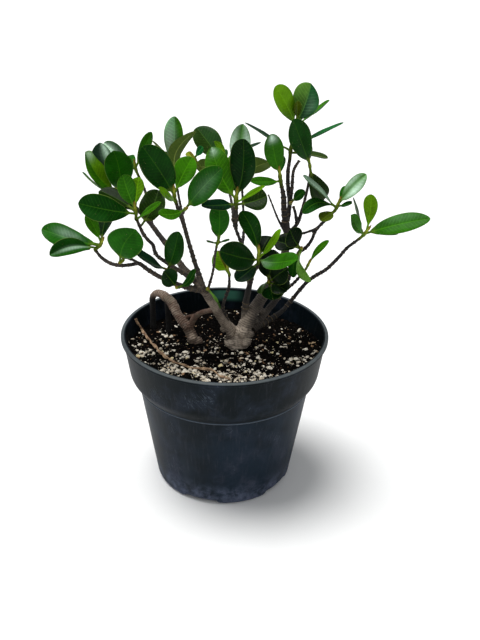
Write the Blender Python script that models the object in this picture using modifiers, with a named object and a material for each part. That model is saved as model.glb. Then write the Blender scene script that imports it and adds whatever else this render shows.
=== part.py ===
# Potted green island ficus: a dark nursery pot, its soil with perlite, the woody plant with its
# exposed roots, a loose root lying on the soil, and the leafy shoots, each shoot one body.
# Metres, +Z up. The origin is the middle of the pot's underside and -Y is the front.
# Places on the plant are read off the front view of the real plant: a seen point is given by
# how far across and down it lies in that view, and by its depth in millimetres behind the
# pot's axis. The function spot() turns it into a place in space.

import math

import bpy
import bmesh
from mathutils import Vector, noise

MM = 0.001

# Pot, in millimetres
RIM_RADIUS = 80.0
POT_HEIGHT = 125.8
LIP_DEPTH = 2.5
LIP_ROUNDING = 0.6
BAND_TOP_RADIUS = 78.1
BAND_LOW_RADIUS = 73.7
BAND_DEPTH = 32.7
STEP_RADIUS = 67.4
STEP_DEPTH = 41.5
FOOT_RADIUS = 54.6
FOOT_ROUNDING = 3.0
INNER_CORNER = 1.5
WALL = 1.6
FLOOR_THICK = 2.0
MOAT_OUTER, MOAT_INNER, MOAT_HEIGHT = 46.5, 38.0, 3.0
MOAT_SLOPE = 0.8
DRAIN_COUNT = 5
DRAIN_RADIUS = 3.6
NOTCH_WIDTH, NOTCH_HEIGHT, NOTCH_REACH = 27.0, 2.2, 14.0
FIRST_NOTCH_ANGLE = -108.0
ROUND_STEPS = 44

# Soil, in millimetres below the rim
SOIL_FRONT_DROP = 6.0
SOIL_BACK_DROP = 18.0
SOIL_RINGS = 15
SOIL_SLOPE_START, SOIL_SLOPE_LENGTH = -60.0, 130.0
CRUMB_HEIGHT, CRUMB_SIZE = 1.1, 5.5
GRAIN_SHARE, GRAIN_SIZE = 0.7, 2.7
BED_DEPTH, BED_HALF_WIDTH, BED_EDGE = 0.9, 4.0, 5.0
FOOT_EDGE, FOOT_SHOULDER, FOOT_TAPER = 6.0, 1.2, 0.9
GAP = 0.35

# The viewer of the front view: eye, downward tilt, lean, and focal length in view units
EYE = Vector((11.5, -581.3, POT_HEIGHT + 308.0))
LOOK_DOWN = math.radians(27.18)
LEAN = math.radians(1.18)
FOCAL = 850.0
VIEW_CENTRE = (240.0, 320.0)

# Leaves and shoot stems, in millimetres
BLADE_THICK = 1.2
BLADE_BASE = 1.0        # how slender each end of the blade is: 0.5 is round, 1 a wedge
BLADE_END = 0.56
BLADE_STATIONS = (0.40, 0.67, 0.90, 1.0)
STALK_RADIUS = 0.85
STALK_LENGTH = 3.5
STALK_MOST = 0.2        # of the leaf's length
STALK_BLEND = 0.12      # of the leaf's length, from round stalk to flat blade
STEM_LEAD = 1.5
STEM_LEAST = 0.9
BUD_LENGTH = 5.0
BUD_BASE, BUD_TIP = 0.95, 0.35
JOINT_GAP = 0.35

# How closely a smooth line is followed, in millimetres
BRANCH_SPACING = 11.0
ROOT_SPACING = 5.0
THICK_BRANCH = 3.5
CUT_SIDES = 32

# Wood: each branch is a list of (across, down, depth, radius in mm), from its root to its end
BRANCHES = {
    "trunk": [(237, 347, -4, 8.0), (238, 339, -4, 7.2), (240, 331, -4, 5.6)],
    "left_arm": [(239, 338, -4, 5.6), (231.5, 330, -5, 4.3), (223, 320, -8, 3.8),
                 (215.5, 307.5, -12, 3.4), (207, 295, -16, 3.2), (199, 284, -19, 2.8)],
    "to_middle_left": [(203, 289, -18, 2.6), (198, 272, -23, 1.9), (194, 260, -26, 1.6),
                       (189, 243, -30, 1.5), (184, 226, -34, 1.4), (179, 212, -35, 1.4),
                       (176.5, 204, -35, 1.2)],
    "middle_left_spur": [(180.5, 216, -35, 1.2), (183, 212.5, -39, 1.1), (184.5, 210, -42, 1.0)],
    "back_left": [(200, 286, -19, 2.5), (190, 275, -11, 2.5), (182, 266, -5, 2.4),
                  (172, 252, 3, 2.2), (160, 236, 11, 2.0), (150, 223, 15, 1.8),
                  (137, 209, 15, 1.6), (128, 202, 11, 1.3), (123, 199, 8, 1.1)],
    "far_back_left": [(152, 226, 15, 1.5), (149, 205, 24, 1.3), (144, 188, 30, 1.1),
                      (139, 177, 32, 1.0)],
    "to_left": [(196, 282, -19, 2.0), (187.5, 276, -23, 1.7), (172, 266, -27, 1.5),
                (157, 255.5, -31, 1.4), (153, 245, -34, 1.4), (149, 241, -35, 1.3),
                (144, 235, -36, 1.3), (140, 227, -38, 1.2), (137, 220, -39, 1.1)],
    "to_left_leaf": [(173, 266.5, -27, 1.3), (171, 269, -33, 1.2), (169, 269.5, -37, 1.0)],
    "low_left": [(203, 290, -18, 2.6), (190, 288, -22, 2.1), (180, 285, -24, 1.7),
                 (168, 280, -27, 1.7), (159, 276.5, -28, 1.7), (147, 269, -31, 1.6),
                 (139, 263.5, -32, 1.5), (131, 264.7, -32, 1.4), (121, 265.5, -32, 1.4),
                 (111, 263.5, -31, 1.4), (102, 258, -30, 1.3), (96.5, 251.5, -28, 1.1)],
    "low_left_fork": [(140, 264, -32, 1.2), (132, 259.5, -38, 1.1), (126, 257.5, -42, 1.0)],
    "low_left_spur": [(181, 285.5, -24, 1.3), (179, 287, -30, 1.2), (177.5, 287.5, -34, 1.0)],
    "left_arm_spur": [(206, 293, -16, 1.4), (206, 290.5, -22, 1.2), (207, 289.5, -25, 1.0)],
    "thin_middle": [(207, 294, -16, 1.4), (209, 286, -20, 1.1), (213, 271, -26, 1.0),
                    (215, 255, -31, 1.0), (216.5, 247, -33, 0.89)],
    "thin_front": [(229, 325, -6, 1.9), (224.5, 313, -10, 1.3), (223, 306, -12, 1.2),
                   (226, 296, -16, 1.2), (229, 287, -19, 1.2), (229.3, 276, -21, 1.0)],
    "arched_root": [(195, 343, 3, 4.6), (188.5, 329, 6, 4.1), (178, 315, 12, 3.7),
                    (172, 303, 18, 4.1), (164, 295.5, 24, 3.5), (156.5, 293, 29, 2.8),
                    (152.7, 297.5, 32, 2.5), (152.7, 305, 32, 2.5)],
    "second_leg": [(167.5, 301, 25, 2.6), (168, 311, 25, 2.4), (168.5, 320, 25, 2.4)],
    "root_link": [(189, 329, 6, 3.0), (194.5, 318, 3, 2.3), (202, 312.5, -2, 2.0),
                  (214, 310, -11, 2.0)],
    "thin_link": [(181, 319, 11, 1.4), (188, 316.5, 9, 1.2), (198, 314.5, 1, 1.3)],
    "right_arm": [(240, 338, -4, 6.3), (245, 326, -2, 5.6), (250, 315.5, 0, 5.0),
                  (257, 305, 4, 4.6), (263, 296, 5, 4.2), (269, 287, 7, 3.8),
                  (276, 276, 8, 3.4), (283, 260, 8, 3.2), (287, 240, 8, 2.9),
                  (286, 224, 7, 2.7), (284, 209, 5, 2.2), (283.5, 196, 3, 1.8),
                  (281.7, 187, 0, 1.4)],
    "to_top": [(286, 228, 8, 2.0), (289.5, 205, 15, 1.7), (288, 186, 18, 1.6),
               (288, 172, 18, 1.5), (289.5, 161, 16, 1.3)],
    "bare_stub": [(289.5, 206, 15, 1.6), (292, 188, 14, 1.3), (293.5, 171, 12, 1.2),
                  (299, 161, 11, 1.1)],
    "inner_spur": [(271, 284, 7, 1.5), (269.5, 284, -3, 1.3), (269, 283, -7, 1.1)],
    "to_low_middle": [(244, 324, -2, 2.9), (245.5, 305, 0, 2.6), (249, 288, -3, 2.2),
                      (252, 275, -11, 1.7), (256, 268, -22, 1.4), (258, 264, -28, 1.2)],
    "to_middle": [(249, 288, -1, 1.3), (247, 270, 3, 1.2), (245, 256, 0, 1.2),
                  (240, 240, -11, 1.2), (236, 229, -22, 1.2), (235, 218.5, -32, 2.3),
                  (236, 208, -38, 1.4)],
    "behind_middle": [(242, 247, -5, 1.3), (244, 228, 11, 1.1), (243, 205, 27, 1.0),
                      (242, 187, 36, 1.0)],
    "back_middle": [(234, 222, -28, 1.1), (232, 205, -4, 1.1), (228, 186, 19, 1.0),
                    (225.5, 172, 30, 1.0)],
    "back_middle_side": [(228, 186, 19, 0.90), (214, 176, 23, 0.81), (203, 170, 24, 0.81)],
    "back_of_left": [(190, 247, -28, 1.2), (184, 222, -5, 1.1), (179, 198, 14, 1.0),
                     (176, 180, 23, 1.0)],
    "right_stem": [(252, 328, 0, 3.5), (268.5, 309, 9, 2.7), (281, 293, 14, 2.1),
                   (288, 279, 14, 1.8), (293, 266, 11, 1.6), (299, 253, 7, 1.5),
                   (306, 247.5, 3, 1.3), (311.6, 240, 0, 1.3), (316, 230, -3, 1.3),
                   (325, 220.5, -5, 1.2), (333, 212.5, -7, 1.0)],
    "right_stem_spur": [(299, 253, 7, 1.4), (300.5, 250, -7, 1.1), (301, 249.5, -12, 0.90)],
    "cross_stem": [(290, 232, 7, 1.0), (301, 233.7, 3, 1.0), (315.5, 229, -3, 1.0)],
    "to_right": [(288, 234, 8, 1.6), (297, 224, 9, 1.4), (301.5, 212, 12, 1.3),
                 (305, 199, 14, 1.2), (308, 186, 15, 1.1), (310, 175, 15, 1.0)],
    "bare_twig": [(285, 232, 8, 1.1), (278, 219, 7, 0.90), (272, 204, 5, 0.75),
                  (268.5, 195, 4, 0.75)],
    "bare_knob": [(297, 224, 9, 1.4), (295.5, 214, 5, 1.2), (293.5, 207, 3, 1.1)],
    "far_right": [(253, 329, 0, 3.0), (271.5, 318.5, 11, 2.2), (282, 311, 16, 1.9),
                  (288.4, 303.7, 19, 1.7), (296, 294.5, 19, 1.6), (306, 283, 16, 1.5),
                  (315, 276, 12, 1.5), (326.7, 269, 8, 1.4), (339, 257, 4, 1.4),
                  (347, 248, 1, 1.3), (358.5, 239.3, -3, 1.1)],
    "right_twig": [(281, 294, 14, 1.3), (294.8, 282, 5, 1.2), (305, 270, -5, 0.94)],
    "leaf_spur": [(289.5, 205, 15, 1.4), (290.4, 203.4, 11, 1.1)],
}
# Feet that run straight down into plain holes in the soil: branch, its foot's end of the list,
# how deep it is sunk and the foot's radius
FEET = [("trunk", 0, 14.0, 9.0), ("arched_root", 0, 12.0, 6.0), ("arched_root", -1, 12.0, 2.6),
        ("second_leg", -1, 10.0, 2.5)]

# Loose root on the soil: (across, down), its height over the soil's smooth level and its radius
SURFACE_ROOT = [(135.5, 319.5, 13.5, 1.1), (138.0, 324.5, 9.0, 1.2), (142.0, 330.5, 4.0, 1.2),
                (147.5, 338, 0.5, 1.2), (153.6, 345.8, 0, 1.2), (161.3, 353.5, 0, 1.3),
                (169, 360, 0, 1.4), (179.6, 364.2, 0, 1.1), (192, 368, 0, 1.0),
                (207, 369.5, 0, 1.2), (215, 372.6, 0, 1.1), (221, 376.8, 0, 0.9),
                (230, 379.0, 0, 0.8)]

# Leafy shoots. Each starts where a branch ends; "stem" are the further points (across, down,
# depth). Each leaf: where on the stem it grows (0 to 1), its tip (across, down, depth), its
# width in mm, its turn about its own length (0 shows the upper face, 90 the edge, 180 the
# underside, and minus turns it the other way), its fold, its arch, and its bend to one side.
SHOOTS = {
    "shoot_far_left": dict(branch="low_left",
        stem=[(99.5, 246, -28), (102, 241, -30)], leaves=[
        (0.55, (41.5, 229, -31), 17, 22, 14, 0.05, -0.05),
        (0.30, (49.6, 255.4, -56), 14.5, 34, 16, 0.04, 0.08),
        (0.85, (86.0, 213.5, -35), 9.5, 25, 10, 0.03, 0),
        (0.75, (109.0, 207.0, -8), 12.5, 25, 12, 0.04, 0),
        (0.65, (61.0, 238.0, -5), 11, 20, 12, 0.05, 0)]),
    "shoot_low_left": dict(branch="low_left_fork",
        stem=[(122.5, 261, -46), (119.5, 262.5, -47)], leaves=[
        (0.95, (136.0, 229.5, -54), 25, 5, 18, 0.05, -0.09),
        (0.60, (124.0, 238.0, -22), 12, 20, 12, 0.05, 0)]),
    "shoot_left": dict(branch="to_left", stem=[(136, 214, -40), (135, 207, -42)], leaves=[
        (0.80, (122.5, 175.0, -46), 13, 12, 12, 0.03, -0.03),
        (0.85, (139.0, 177.0, -35), 12, 35, 14, 0.03, 0),
        (0.70, (99.5, 190.5, -30), 16, 50, 22, 0.03, 0),
        (0.45, (78.0, 203.3, -59), 18.5, 12, 12, 0.04, -0.03),
        (0.05, (158.5, 190.0, -22), 19, 25, 16, 0.04, 0.08),
        (0.03, (161.0, 202.2, -60), 5, 30, 18, 0.02, 0),
        (0.55, (117.0, 198.0, -8), 13.5, 20, 12, 0.05, 0)]),
    "shoot_upper_left": dict(branch="back_left",
        stem=[(118, 193, 3), (116, 187, 0)], leaves=[
        (0.55, (85.0, 152.0, -3), 17, 38, 20, 0.05, -0.16),
        (0.70, (100.0, 142.5, 0), 19, -30, 24, 0.04, 0),
        (0.55, (113.5, 150.5, -21), 20.5, 10, 10, 0.05, 0.05),
        (0.35, (82.4, 172.5, -6), 11, 84, 12, -0.08, 0),
        (0.60, (121.0, 168.0, 18), 14.5, 20, 12, 0.05, 0)]),
    "shoot_top_left": dict(branch="far_back_left",
        stem=[(136, 170, 32), (135, 165, 32)], leaves=[
        (0.60, (104.0, 142.5, 27), 12, 25, 14, 0.05, -0.03),
        (0.75, (151.8, 132.0, 24), 9, 20, 14, 0.03, 0),
        (0.50, (123.0, 158.0, 58), 14.5, 20, 12, 0.05, 0)]),
    "shoot_middle_left": dict(branch="to_middle_left",
        stem=[(174.5, 197, -36), (174, 190, -38)], leaves=[
        (0.55, (142.5, 146.5, -49), 21, 8, 10, 0.05, 0),
        (0.70, (192.5, 157.3, -32), 16, 20, 12, 0.03, 0),
        (0.15, (158.5, 187.8, -59), 6, 30, 20, 0.04, -0.05),
        (0.60, (158.0, 166.0, -6), 14.5, 20, 12, 0.05, 0)]),
    "shoot_middle_left_side": dict(branch="middle_left_spur",
        stem=[(186, 208.5, -45)], leaves=[
        (0.75, (222.0, 168.3, -57), 18.5, 22, 14, 0.05, 0),
        (0.45, (158.5, 214.0, -57), 9, 28, 12, 0.04, -0.13),
        (0.60, (206.0, 186.0, -18), 13, 20, 12, 0.05, 0)]),
    "shoot_back_left": dict(branch="back_of_left",
        stem=[(175, 174, 24), (174.5, 168, 24)], leaves=[
        (0.60, (174.5, 116.2, 19), 15.5, 15, 24, 0.04, 0),
        (0.50, (194.5, 131.0, 6), 13, 142, 10, 0.04, 0.14),
        (0.40, (152.5, 140.5, 2), 11, 105, 10, 0.04, 0.08),
        (0.50, (168.0, 152.0, 54), 14.5, 20, 12, 0.05, 0)]),
    "shoot_back_middle": dict(branch="back_middle",
        stem=[(224.5, 165, 31), (224, 160, 31)], leaves=[
        (0.60, (196.5, 127.5, 46), 20.5, 20, 16, 0.05, -0.01),
        (0.80, (214.5, 141.0, 19), 5, 20, 12, 0.03, 0.1),
        (0.25, (195.8, 166.5, 36), 13, 150, 10, 0.03, 0),
        (0.50, (216.0, 150.0, 62), 14.5, 20, 12, 0.05, 0)]),
    "shoot_back_middle_side": dict(branch="back_middle_side",
        stem=[(198, 164, 24), (193.5, 157, 24)], leaves=[
        (0.80, (186.5, 152.5, 30), 5, 20, 12, 0.03, 0),
        (0.90, (203.0, 146.8, 22), 6.5, 30, 12, 0.03, 0)]),
    "shoot_middle": dict(branch="to_middle",
        stem=[(236, 200, -40), (237, 192, -42)], leaves=[
        (0.60, (243.6, 138.7, -49), 18.7, 18, 12, 0.03, 0.06),
        (0.50, (211.5, 147.3, -35), 18, 12, 12, 0.05, -0.07),
        (0.70, (232.0, 155.0, -27), 13, 28, 14, 0.03, 0.05),
        (0.35, (265.0, 186.3, -62), 6, 52, 20, 0.03, 0.05),
        (0.22, (267.0, 196.0, -36), 16.5, 26, 12, 0.05, 0.08),
        (0.25, (201.5, 205.8, -55), 11, 46, 12, 0.04, -0.06),
        (0.55, (236.0, 166.0, -8), 13.5, 20, 12, 0.05, 0)]),
    "shoot_behind": dict(branch="behind_middle",
        stem=[(241, 180, 38), (240, 172, 38)], leaves=[
        (0.65, (243.0, 123.8, 27), 16, 12, 14, 0.05, -0.02),
        (0.50, (268.3, 162.0, 27), 17, 150, 14, 0.05, 0.06),
        (0.80, (261.0, 142.5, 22), 6, 86, 8, 0.2, 0),
        (0.60, (243.0, 150.0, 68), 14.5, 20, 12, 0.05, 0)]),
    "shoot_centre_right": dict(branch="right_arm",
        stem=[(280.3, 179, -1), (279.5, 171, -3)], leaves=[
        (0.70, (271.0, 134.0, -8), 14.5, 12, 12, 0.04, -0.03),
        (0.35, (250.7, 181.8, -20), 8.5, 34, 16, 0.05, -0.05),
        (0.60, (276.0, 152.0, 26), 11, 20, 12, 0.05, 0)]),
    "shoot_top": dict(branch="to_top",
        stem=[(291, 148, 16), (295, 130, 15), (297.5, 117, 14)], leaves=[
        (0.80, (275.5, 86.0, -4), 15, 26, 14, 0.04, 0),
        (0.85, (311.3, 83.5, 5), 20.5, 18, 12, 0.04, 0.05),
        (0.82, (329.5, 100.0, 22), 10, 72, 12, -0.03, 0),
        (0.92, (297.5, 101.0, 2), 6, 20, 12, 0.02, 0),
        (0.22, (244.5, 122.5, 19), 12, 78, 8, 0.0, 0),
        (0.29, (343.5, 122.3, 32), 11, 74, 8, 0.0, 0),
        (0.18, (328.0, 158.0, 14), 9, 118, 10, 0.03, 0.03),
        (0.75, (310.5, 97.0, 42), 12, 20, 12, 0.05, 0)]),
    "shoot_right": dict(branch="to_right", stem=[(310, 167, 14), (309, 161, 12)], leaves=[
        (0.70, (293.0, 119.3, -8), 17, 15, 12, 0.04, -0.01),
        (0.55, (324.5, 199.3, 22), 16.5, 26, 14, 0.05, 0.1),
        (0.60, (301.0, 140.0, 34), 12, 20, 12, 0.05, 0)]),
    "shoot_outer_right": dict(branch="right_stem",
        stem=[(337, 207, -8), (339, 202, -9)], leaves=[
        (0.80, (366.5, 174.3, -16), 11.4, 22, 10, 0.04, 0),
        (0.40, (303.0, 175.8, -19), 10, 70, 10, 0.03, 0),
        (0.60, (352.0, 203.5, -16), 7, 60, 12, 0.03, 0.05),
        (0.15, (321.0, 221.0, -24), 10, 30, 14, 0.05, 0),
        (0.55, (302.5, 213.0, -34), 9.5, 28, 12, 0.04, 0.13),
        (0.70, (352.0, 187.0, 16), 10.5, 20, 12, 0.05, 0)]),
    "shoot_far_right": dict(branch="far_right",
        stem=[(364, 234.5, -4), (367.5, 230, -5)], leaves=[
        (0.60, (430.5, 218.5, -12), 15, 22, 12, 0.06, 0),
        (0.85, (371.5, 194.3, -5), 11, 14, 12, 0.03, 0.04),
        (0.45, (353.0, 197.0, 8), 11, 78, 8, 0.0, 0),
        (0.50, (350.8, 215.0, -24), 10, 34, 20, 0.04, -0.06),
        (0.65, (398.0, 231.0, 24), 13, 25, 12, 0.05, 0)]),
    "shoot_thin_middle": dict(branch="thin_middle",
        stem=[(218, 242, -34), (218.8, 238, -34)], leaves=[
        (0.60, (219.0, 203.5, -40), 14.5, 10, 16, 0.04, 0.035),
        (0.40, (207.0, 241.8, -42), 5, 70, 8, 0.02, 0),
        (0.45, (229.5, 240.0, -37), 5, 70, 8, 0.02, 0),
        (0.65, (219.0, 222.0, -8), 10.5, 20, 12, 0.05, 0)]),
    "shoot_thin_front": dict(branch="thin_front",
        stem=[(228, 270, -22), (227.5, 266, -22)], leaves=[
        (0.10, (217.5, 250.5, -8), 15, 12, 14, 0.05, -0.06)]),
    "shoot_low_middle": dict(branch="to_low_middle",
        stem=[(258.5, 257, -38), (258.8, 250, -40)], leaves=[
        (0.40, (219.5, 251.3, -68), 19.5, 10, 12, 0.05, -0.03),
        (0.15, (236.3, 281.0, -46), 13, 28, 14, 0.05, -0.05),
        (0.80, (241.5, 211.0, -27), 14.5, 22, 14, 0.04, 0.055),
        (0.60, (281.0, 229.5, -43), 7.5, 45, 14, 0.02, 0.09),
        (0.45, (298.0, 259.5, -73), 14.5, 36, 14, 0.02, 0.07),
        (0.65, (270.0, 236.0, -24), 14, 25, 12, 0.04, 0)]),
    "shoot_low_right": dict(branch="right_stem_spur", stem=[(301.5, 248, -17)], leaves=[
        (0.60, (290.0, 230.0, -19), 16, 20, 12, 0.04, -0.08),
        (0.50, (275.0, 241.0, -10), 15, 25, 12, 0.05, 0),
        (0.30, (293.0, 277.5, -22), 8.5, 28, 12, 0.05, 0.08),
        (0.50, (311.0, 281.5, -40), 13, -68, 14, 0.16, 0)]),
    "shoot_right_twig": dict(branch="right_twig",
        stem=[(308, 265, -9), (309.5, 262, -11)], leaves=[
        (0.60, (329.0, 240.5, -14), 6, 36, 12, 0.05, -0.03)]),
    "shoot_left_inner": dict(branch="to_left_leaf", stem=[(167, 269.5, -41)], leaves=[
        (0.65, (178.5, 231.5, -46), 14.5, 16, 14, 0.04, 0.04),
        (0.45, (134.5, 251.5, -52), 14, 62, 14, 0.0, -0.08)]),
    "shoot_low_left_inner": dict(branch="low_left_spur", stem=[(176.5, 287, -38)], leaves=[
        (0.55, (163.5, 271.0, -50), 13.5, 8, 14, 0.05, 0),
        (0.75, (195.5, 269.5, -42), 7, 28, 12, 0.03, 0.16)]),
    "shoot_inner": dict(branch="inner_spur", stem=[(268.5, 281.5, -11)], leaves=[
        (0.60, (288.0, 268.0, -22), 18, 18, 12, 0.05, 0),
        (0.70, (263.5, 254.0, -9), 14, 20, 12, 0.05, 0),
        (0.50, (287.0, 291.0, -24), 16, 28, 12, 0.05, 0),
        (0.80, (275.0, 250.0, -12), 19, 15, 12, 0.05, 0),
        (0.30, (273.0, 300.0, -22), 16, 20, 12, 0.05, 0),
        (0.40, (261.0, 293.5, -28), 8, 66, 12, 0.12, 0)]),
    "shoot_left_arm": dict(branch="left_arm_spur", stem=[(208, 289, -29)], leaves=[
        (0.65, (217.5, 303.0, -34), 4.5, 62, 12, 0.05, 0),
        (0.40, (220.5, 309.0, -36), 4, 70, 12, 0.06, 0)]),
    "shoot_spur_leaf": dict(branch="leaf_spur", stem=[(290.9, 202.7, 9)], leaves=[
        (0.80, (305.0, 190.8, 4), 7.6, 20, 12, 0.04, 0)]),
}


def clear_scene():
    for leftover in list(bpy.data.objects):
        bpy.data.objects.remove(leftover, do_unlink=True)


def new_collection(name):
    collection = bpy.data.collections.new(name)
    bpy.context.scene.collection.children.link(collection)
    return collection


def material(name, colour, roughness):
    made = bpy.data.materials.new(name)
    made.use_nodes = True
    shader = made.node_tree.nodes["Principled BSDF"]
    shader.inputs["Base Color"].default_value = (*colour, 1.0)
    shader.inputs["Roughness"].default_value = roughness
    shader.inputs["Metallic"].default_value = 0.0
    return made


def add_object(name, mesh, collection, finish=None):
    made = bpy.data.objects.new(name, mesh)
    collection.objects.link(made)
    if finish is not None:
        mesh.materials.clear()
        mesh.materials.append(finish)
    return made


def evaluated_mesh(source):
    graph = bpy.context.evaluated_depsgraph_get()
    graph.update()
    return bpy.data.meshes.new_from_object(source.evaluated_get(graph))


def spot(across, down, depth):
    """The place in millimetres that shows at (across, down) and lies at the given depth."""
    forward = Vector((0, math.cos(LOOK_DOWN), -math.sin(LOOK_DOWN)))
    level_right = Vector((1, 0, 0))
    level_up = Vector((0, math.sin(LOOK_DOWN), math.cos(LOOK_DOWN)))
    right = math.cos(LEAN) * level_right + math.sin(LEAN) * level_up
    up = -math.sin(LEAN) * level_right + math.cos(LEAN) * level_up
    ray = forward + right * ((across - VIEW_CENTRE[0]) / FOCAL) - up * ((down - VIEW_CENTRE[1]) / FOCAL)
    return EYE + ray * ((depth - EYE.y) / ray.y)


def smooth_route(points, radii, spacing):
    """Points and radii along a smooth curve through the given points."""
    route, widths = [], []
    last = len(points) - 1
    for i in range(last):
        before, start = points[max(i - 1, 0)], points[i]
        end, after = points[i + 1], points[min(i + 2, last)]
        steps = max(1, round((end - start).length / spacing))
        for k in range(steps):
            t = k / steps
            bend_in = (end - before) * 0.5
            bend_out = (after - start) * 0.5
            place = (start * (2 * t**3 - 3 * t**2 + 1) + bend_in * (t**3 - 2 * t**2 + t)
                     + end * (3 * t**2 - 2 * t**3) + bend_out * (t**3 - t**2))
            route.append(place)
            widths.append(radii[i] + (radii[i + 1] - radii[i]) * t)
    route.append(points[-1])
    widths.append(radii[-1])
    return route, widths


def tube(name, route, widths, roundness, collection):
    """A closed tube in millimetres along the route, as a mesh object."""
    curve = bpy.data.curves.new(name, "CURVE")
    curve.dimensions = "3D"
    curve.bevel_depth = MM
    curve.bevel_resolution = roundness
    curve.use_fill_caps = True
    spline = curve.splines.new("POLY")
    spline.points.add(len(route) - 1)
    for point, place, width in zip(spline.points, route, widths):
        point.co = (*(place * MM), 1.0)
        point.radius = width
    guide = add_object(name + "_guide", curve, collection)
    mesh = evaluated_mesh(guide)
    shell = bmesh.new()
    shell.from_mesh(mesh)
    bmesh.ops.remove_doubles(shell, verts=shell.verts, dist=1e-6)
    bmesh.ops.recalc_face_normals(shell, faces=shell.faces)
    shell.to_mesh(mesh)
    shell.free()
    made = add_object(name, mesh, collection)
    made.matrix_world = guide.matrix_world
    bpy.data.objects.remove(guide, do_unlink=True)
    return made


def keep_main_body(mesh):
    """Drop loose scraps and sealed hollows that a union may leave."""
    shell = bmesh.new()
    shell.from_mesh(mesh)
    waiting = set(shell.faces)
    groups = []
    while waiting:
        group, edge_of = set(), [waiting.pop()]
        while edge_of:
            face = edge_of.pop()
            group.add(face)
            for side in face.edges:
                for other in side.link_faces:
                    if other in waiting:
                        waiting.discard(other)
                        edge_of.append(other)
        groups.append(group)
    largest = max(groups, key=lambda group: sum(face.calc_area() for face in group))
    spare = [face for group in groups if group is not largest for face in group]
    bmesh.ops.delete(shell, geom=spare, context="FACES")
    bmesh.ops.triangulate(shell, faces=shell.faces)
    shell.to_mesh(mesh)
    shell.free()


def fuse(name, pieces, collection, finish):
    """One body from closed pieces that run into each other."""
    base = pieces[0]
    operand = new_collection(name + "_repeats")
    for piece in pieces[1:]:
        for holder in list(piece.users_collection):
            holder.objects.unlink(piece)
        operand.objects.link(piece)
    union = base.modifiers.new("union", "BOOLEAN")
    union.operation = "UNION"
    union.operand_type = "COLLECTION"
    union.collection = operand
    union.solver = "MANIFOLD"
    mesh = evaluated_mesh(base)
    keep_main_body(mesh)
    mesh.name = name
    for piece in pieces:
        bpy.data.objects.remove(piece, do_unlink=True)
    bpy.data.collections.remove(operand)
    made = add_object(name, mesh, collection, finish)
    mesh.shade_smooth()
    mesh.set_sharp_from_angle(angle=math.radians(35))
    return made


def turned(name, profile, collection, finish):
    """A body turned round Z from (radius, height) points in mm, outer side from top to bottom."""
    mesh = bpy.data.meshes.new(name)
    places = [(radius * MM, 0.0, height * MM) for radius, height in profile]
    mesh.from_pydata(places, [(i, i + 1) for i in range(len(places) - 1)], [])
    made = add_object(name, mesh, collection, finish)
    screw = made.modifiers.new("turn", "SCREW")
    screw.axis = "Z"
    screw.angle = math.tau
    screw.steps = ROUND_STEPS
    screw.render_steps = ROUND_STEPS
    screw.use_merge_vertices = True
    screw.merge_threshold = 1e-5
    return made


def band_inside(height):
    """The inner radius in mm of the pot's upper band at a height in mm."""
    part = (height - (POT_HEIGHT - BAND_DEPTH)) / BAND_DEPTH
    return BAND_LOW_RADIUS + (BAND_TOP_RADIUS - BAND_LOW_RADIUS) * part - WALL


def build_pot(parts, cutters, finish):
    pot = turned("pot", pot_inside() + pot_outside() + pot_underside(), parts, finish)
    for i in range(DRAIN_COUNT):
        angle = math.radians(FIRST_NOTCH_ANGLE + 360 / DRAIN_COUNT * i)
        add_notch(f"notch_{i}", angle, cutters)
        add_drain(f"drain_{i}", angle + math.pi / DRAIN_COUNT, cutters)
    cut = pot.modifiers.new("notches_and_drains", "BOOLEAN")
    cut.operation = "DIFFERENCE"
    cut.operand_type = "COLLECTION"
    cut.collection = cutters
    return pot


def pot_inside():
    """The inner side, from the middle of the floor up to the lip."""
    floor = MOAT_HEIGHT + FLOOR_THICK
    return [(0, floor), (FOOT_RADIUS - WALL - INNER_CORNER, floor),
            (FOOT_RADIUS - WALL, floor + INNER_CORNER),
            (STEP_RADIUS - WALL, POT_HEIGHT - STEP_DEPTH),
            (BAND_LOW_RADIUS - WALL, POT_HEIGHT - BAND_DEPTH),
            (BAND_TOP_RADIUS - WALL, POT_HEIGHT - LIP_ROUNDING),
            (BAND_TOP_RADIUS - WALL + LIP_ROUNDING, POT_HEIGHT)]


def pot_outside():
    """The lip, the upper band, the step and the tapering wall, downwards."""
    return [(RIM_RADIUS - LIP_ROUNDING, POT_HEIGHT), (RIM_RADIUS, POT_HEIGHT - LIP_ROUNDING),
            (RIM_RADIUS, POT_HEIGHT - LIP_DEPTH),
            (BAND_TOP_RADIUS, POT_HEIGHT - LIP_DEPTH - LIP_ROUNDING),
            (BAND_LOW_RADIUS, POT_HEIGHT - BAND_DEPTH),
            (STEP_RADIUS, POT_HEIGHT - STEP_DEPTH), (FOOT_RADIUS, FOOT_ROUNDING),
            (FOOT_RADIUS - 0.35 * FOOT_ROUNDING, 0.35 * FOOT_ROUNDING),
            (FOOT_RADIUS - FOOT_ROUNDING, 0)]


def pot_underside():
    """The foot ring, the moat that holds the drain holes, and the flat middle."""
    return [(MOAT_OUTER, 0), (MOAT_OUTER - MOAT_SLOPE, MOAT_HEIGHT),
            (MOAT_INNER + MOAT_SLOPE, MOAT_HEIGHT), (MOAT_INNER, 0), (0, 0)]


def add_notch(name, angle, cutters):
    bpy.ops.mesh.primitive_cube_add(size=1)
    cutter = bpy.context.object
    cutter.name = name
    cutter.scale = (NOTCH_REACH * MM, NOTCH_WIDTH * MM, 2 * NOTCH_HEIGHT * MM)
    cutter.rotation_euler = (0, 0, angle)
    cutter.location = (math.cos(angle) * FOOT_RADIUS * MM, math.sin(angle) * FOOT_RADIUS * MM, 0)
    as_cutter(cutter, cutters)


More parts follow.
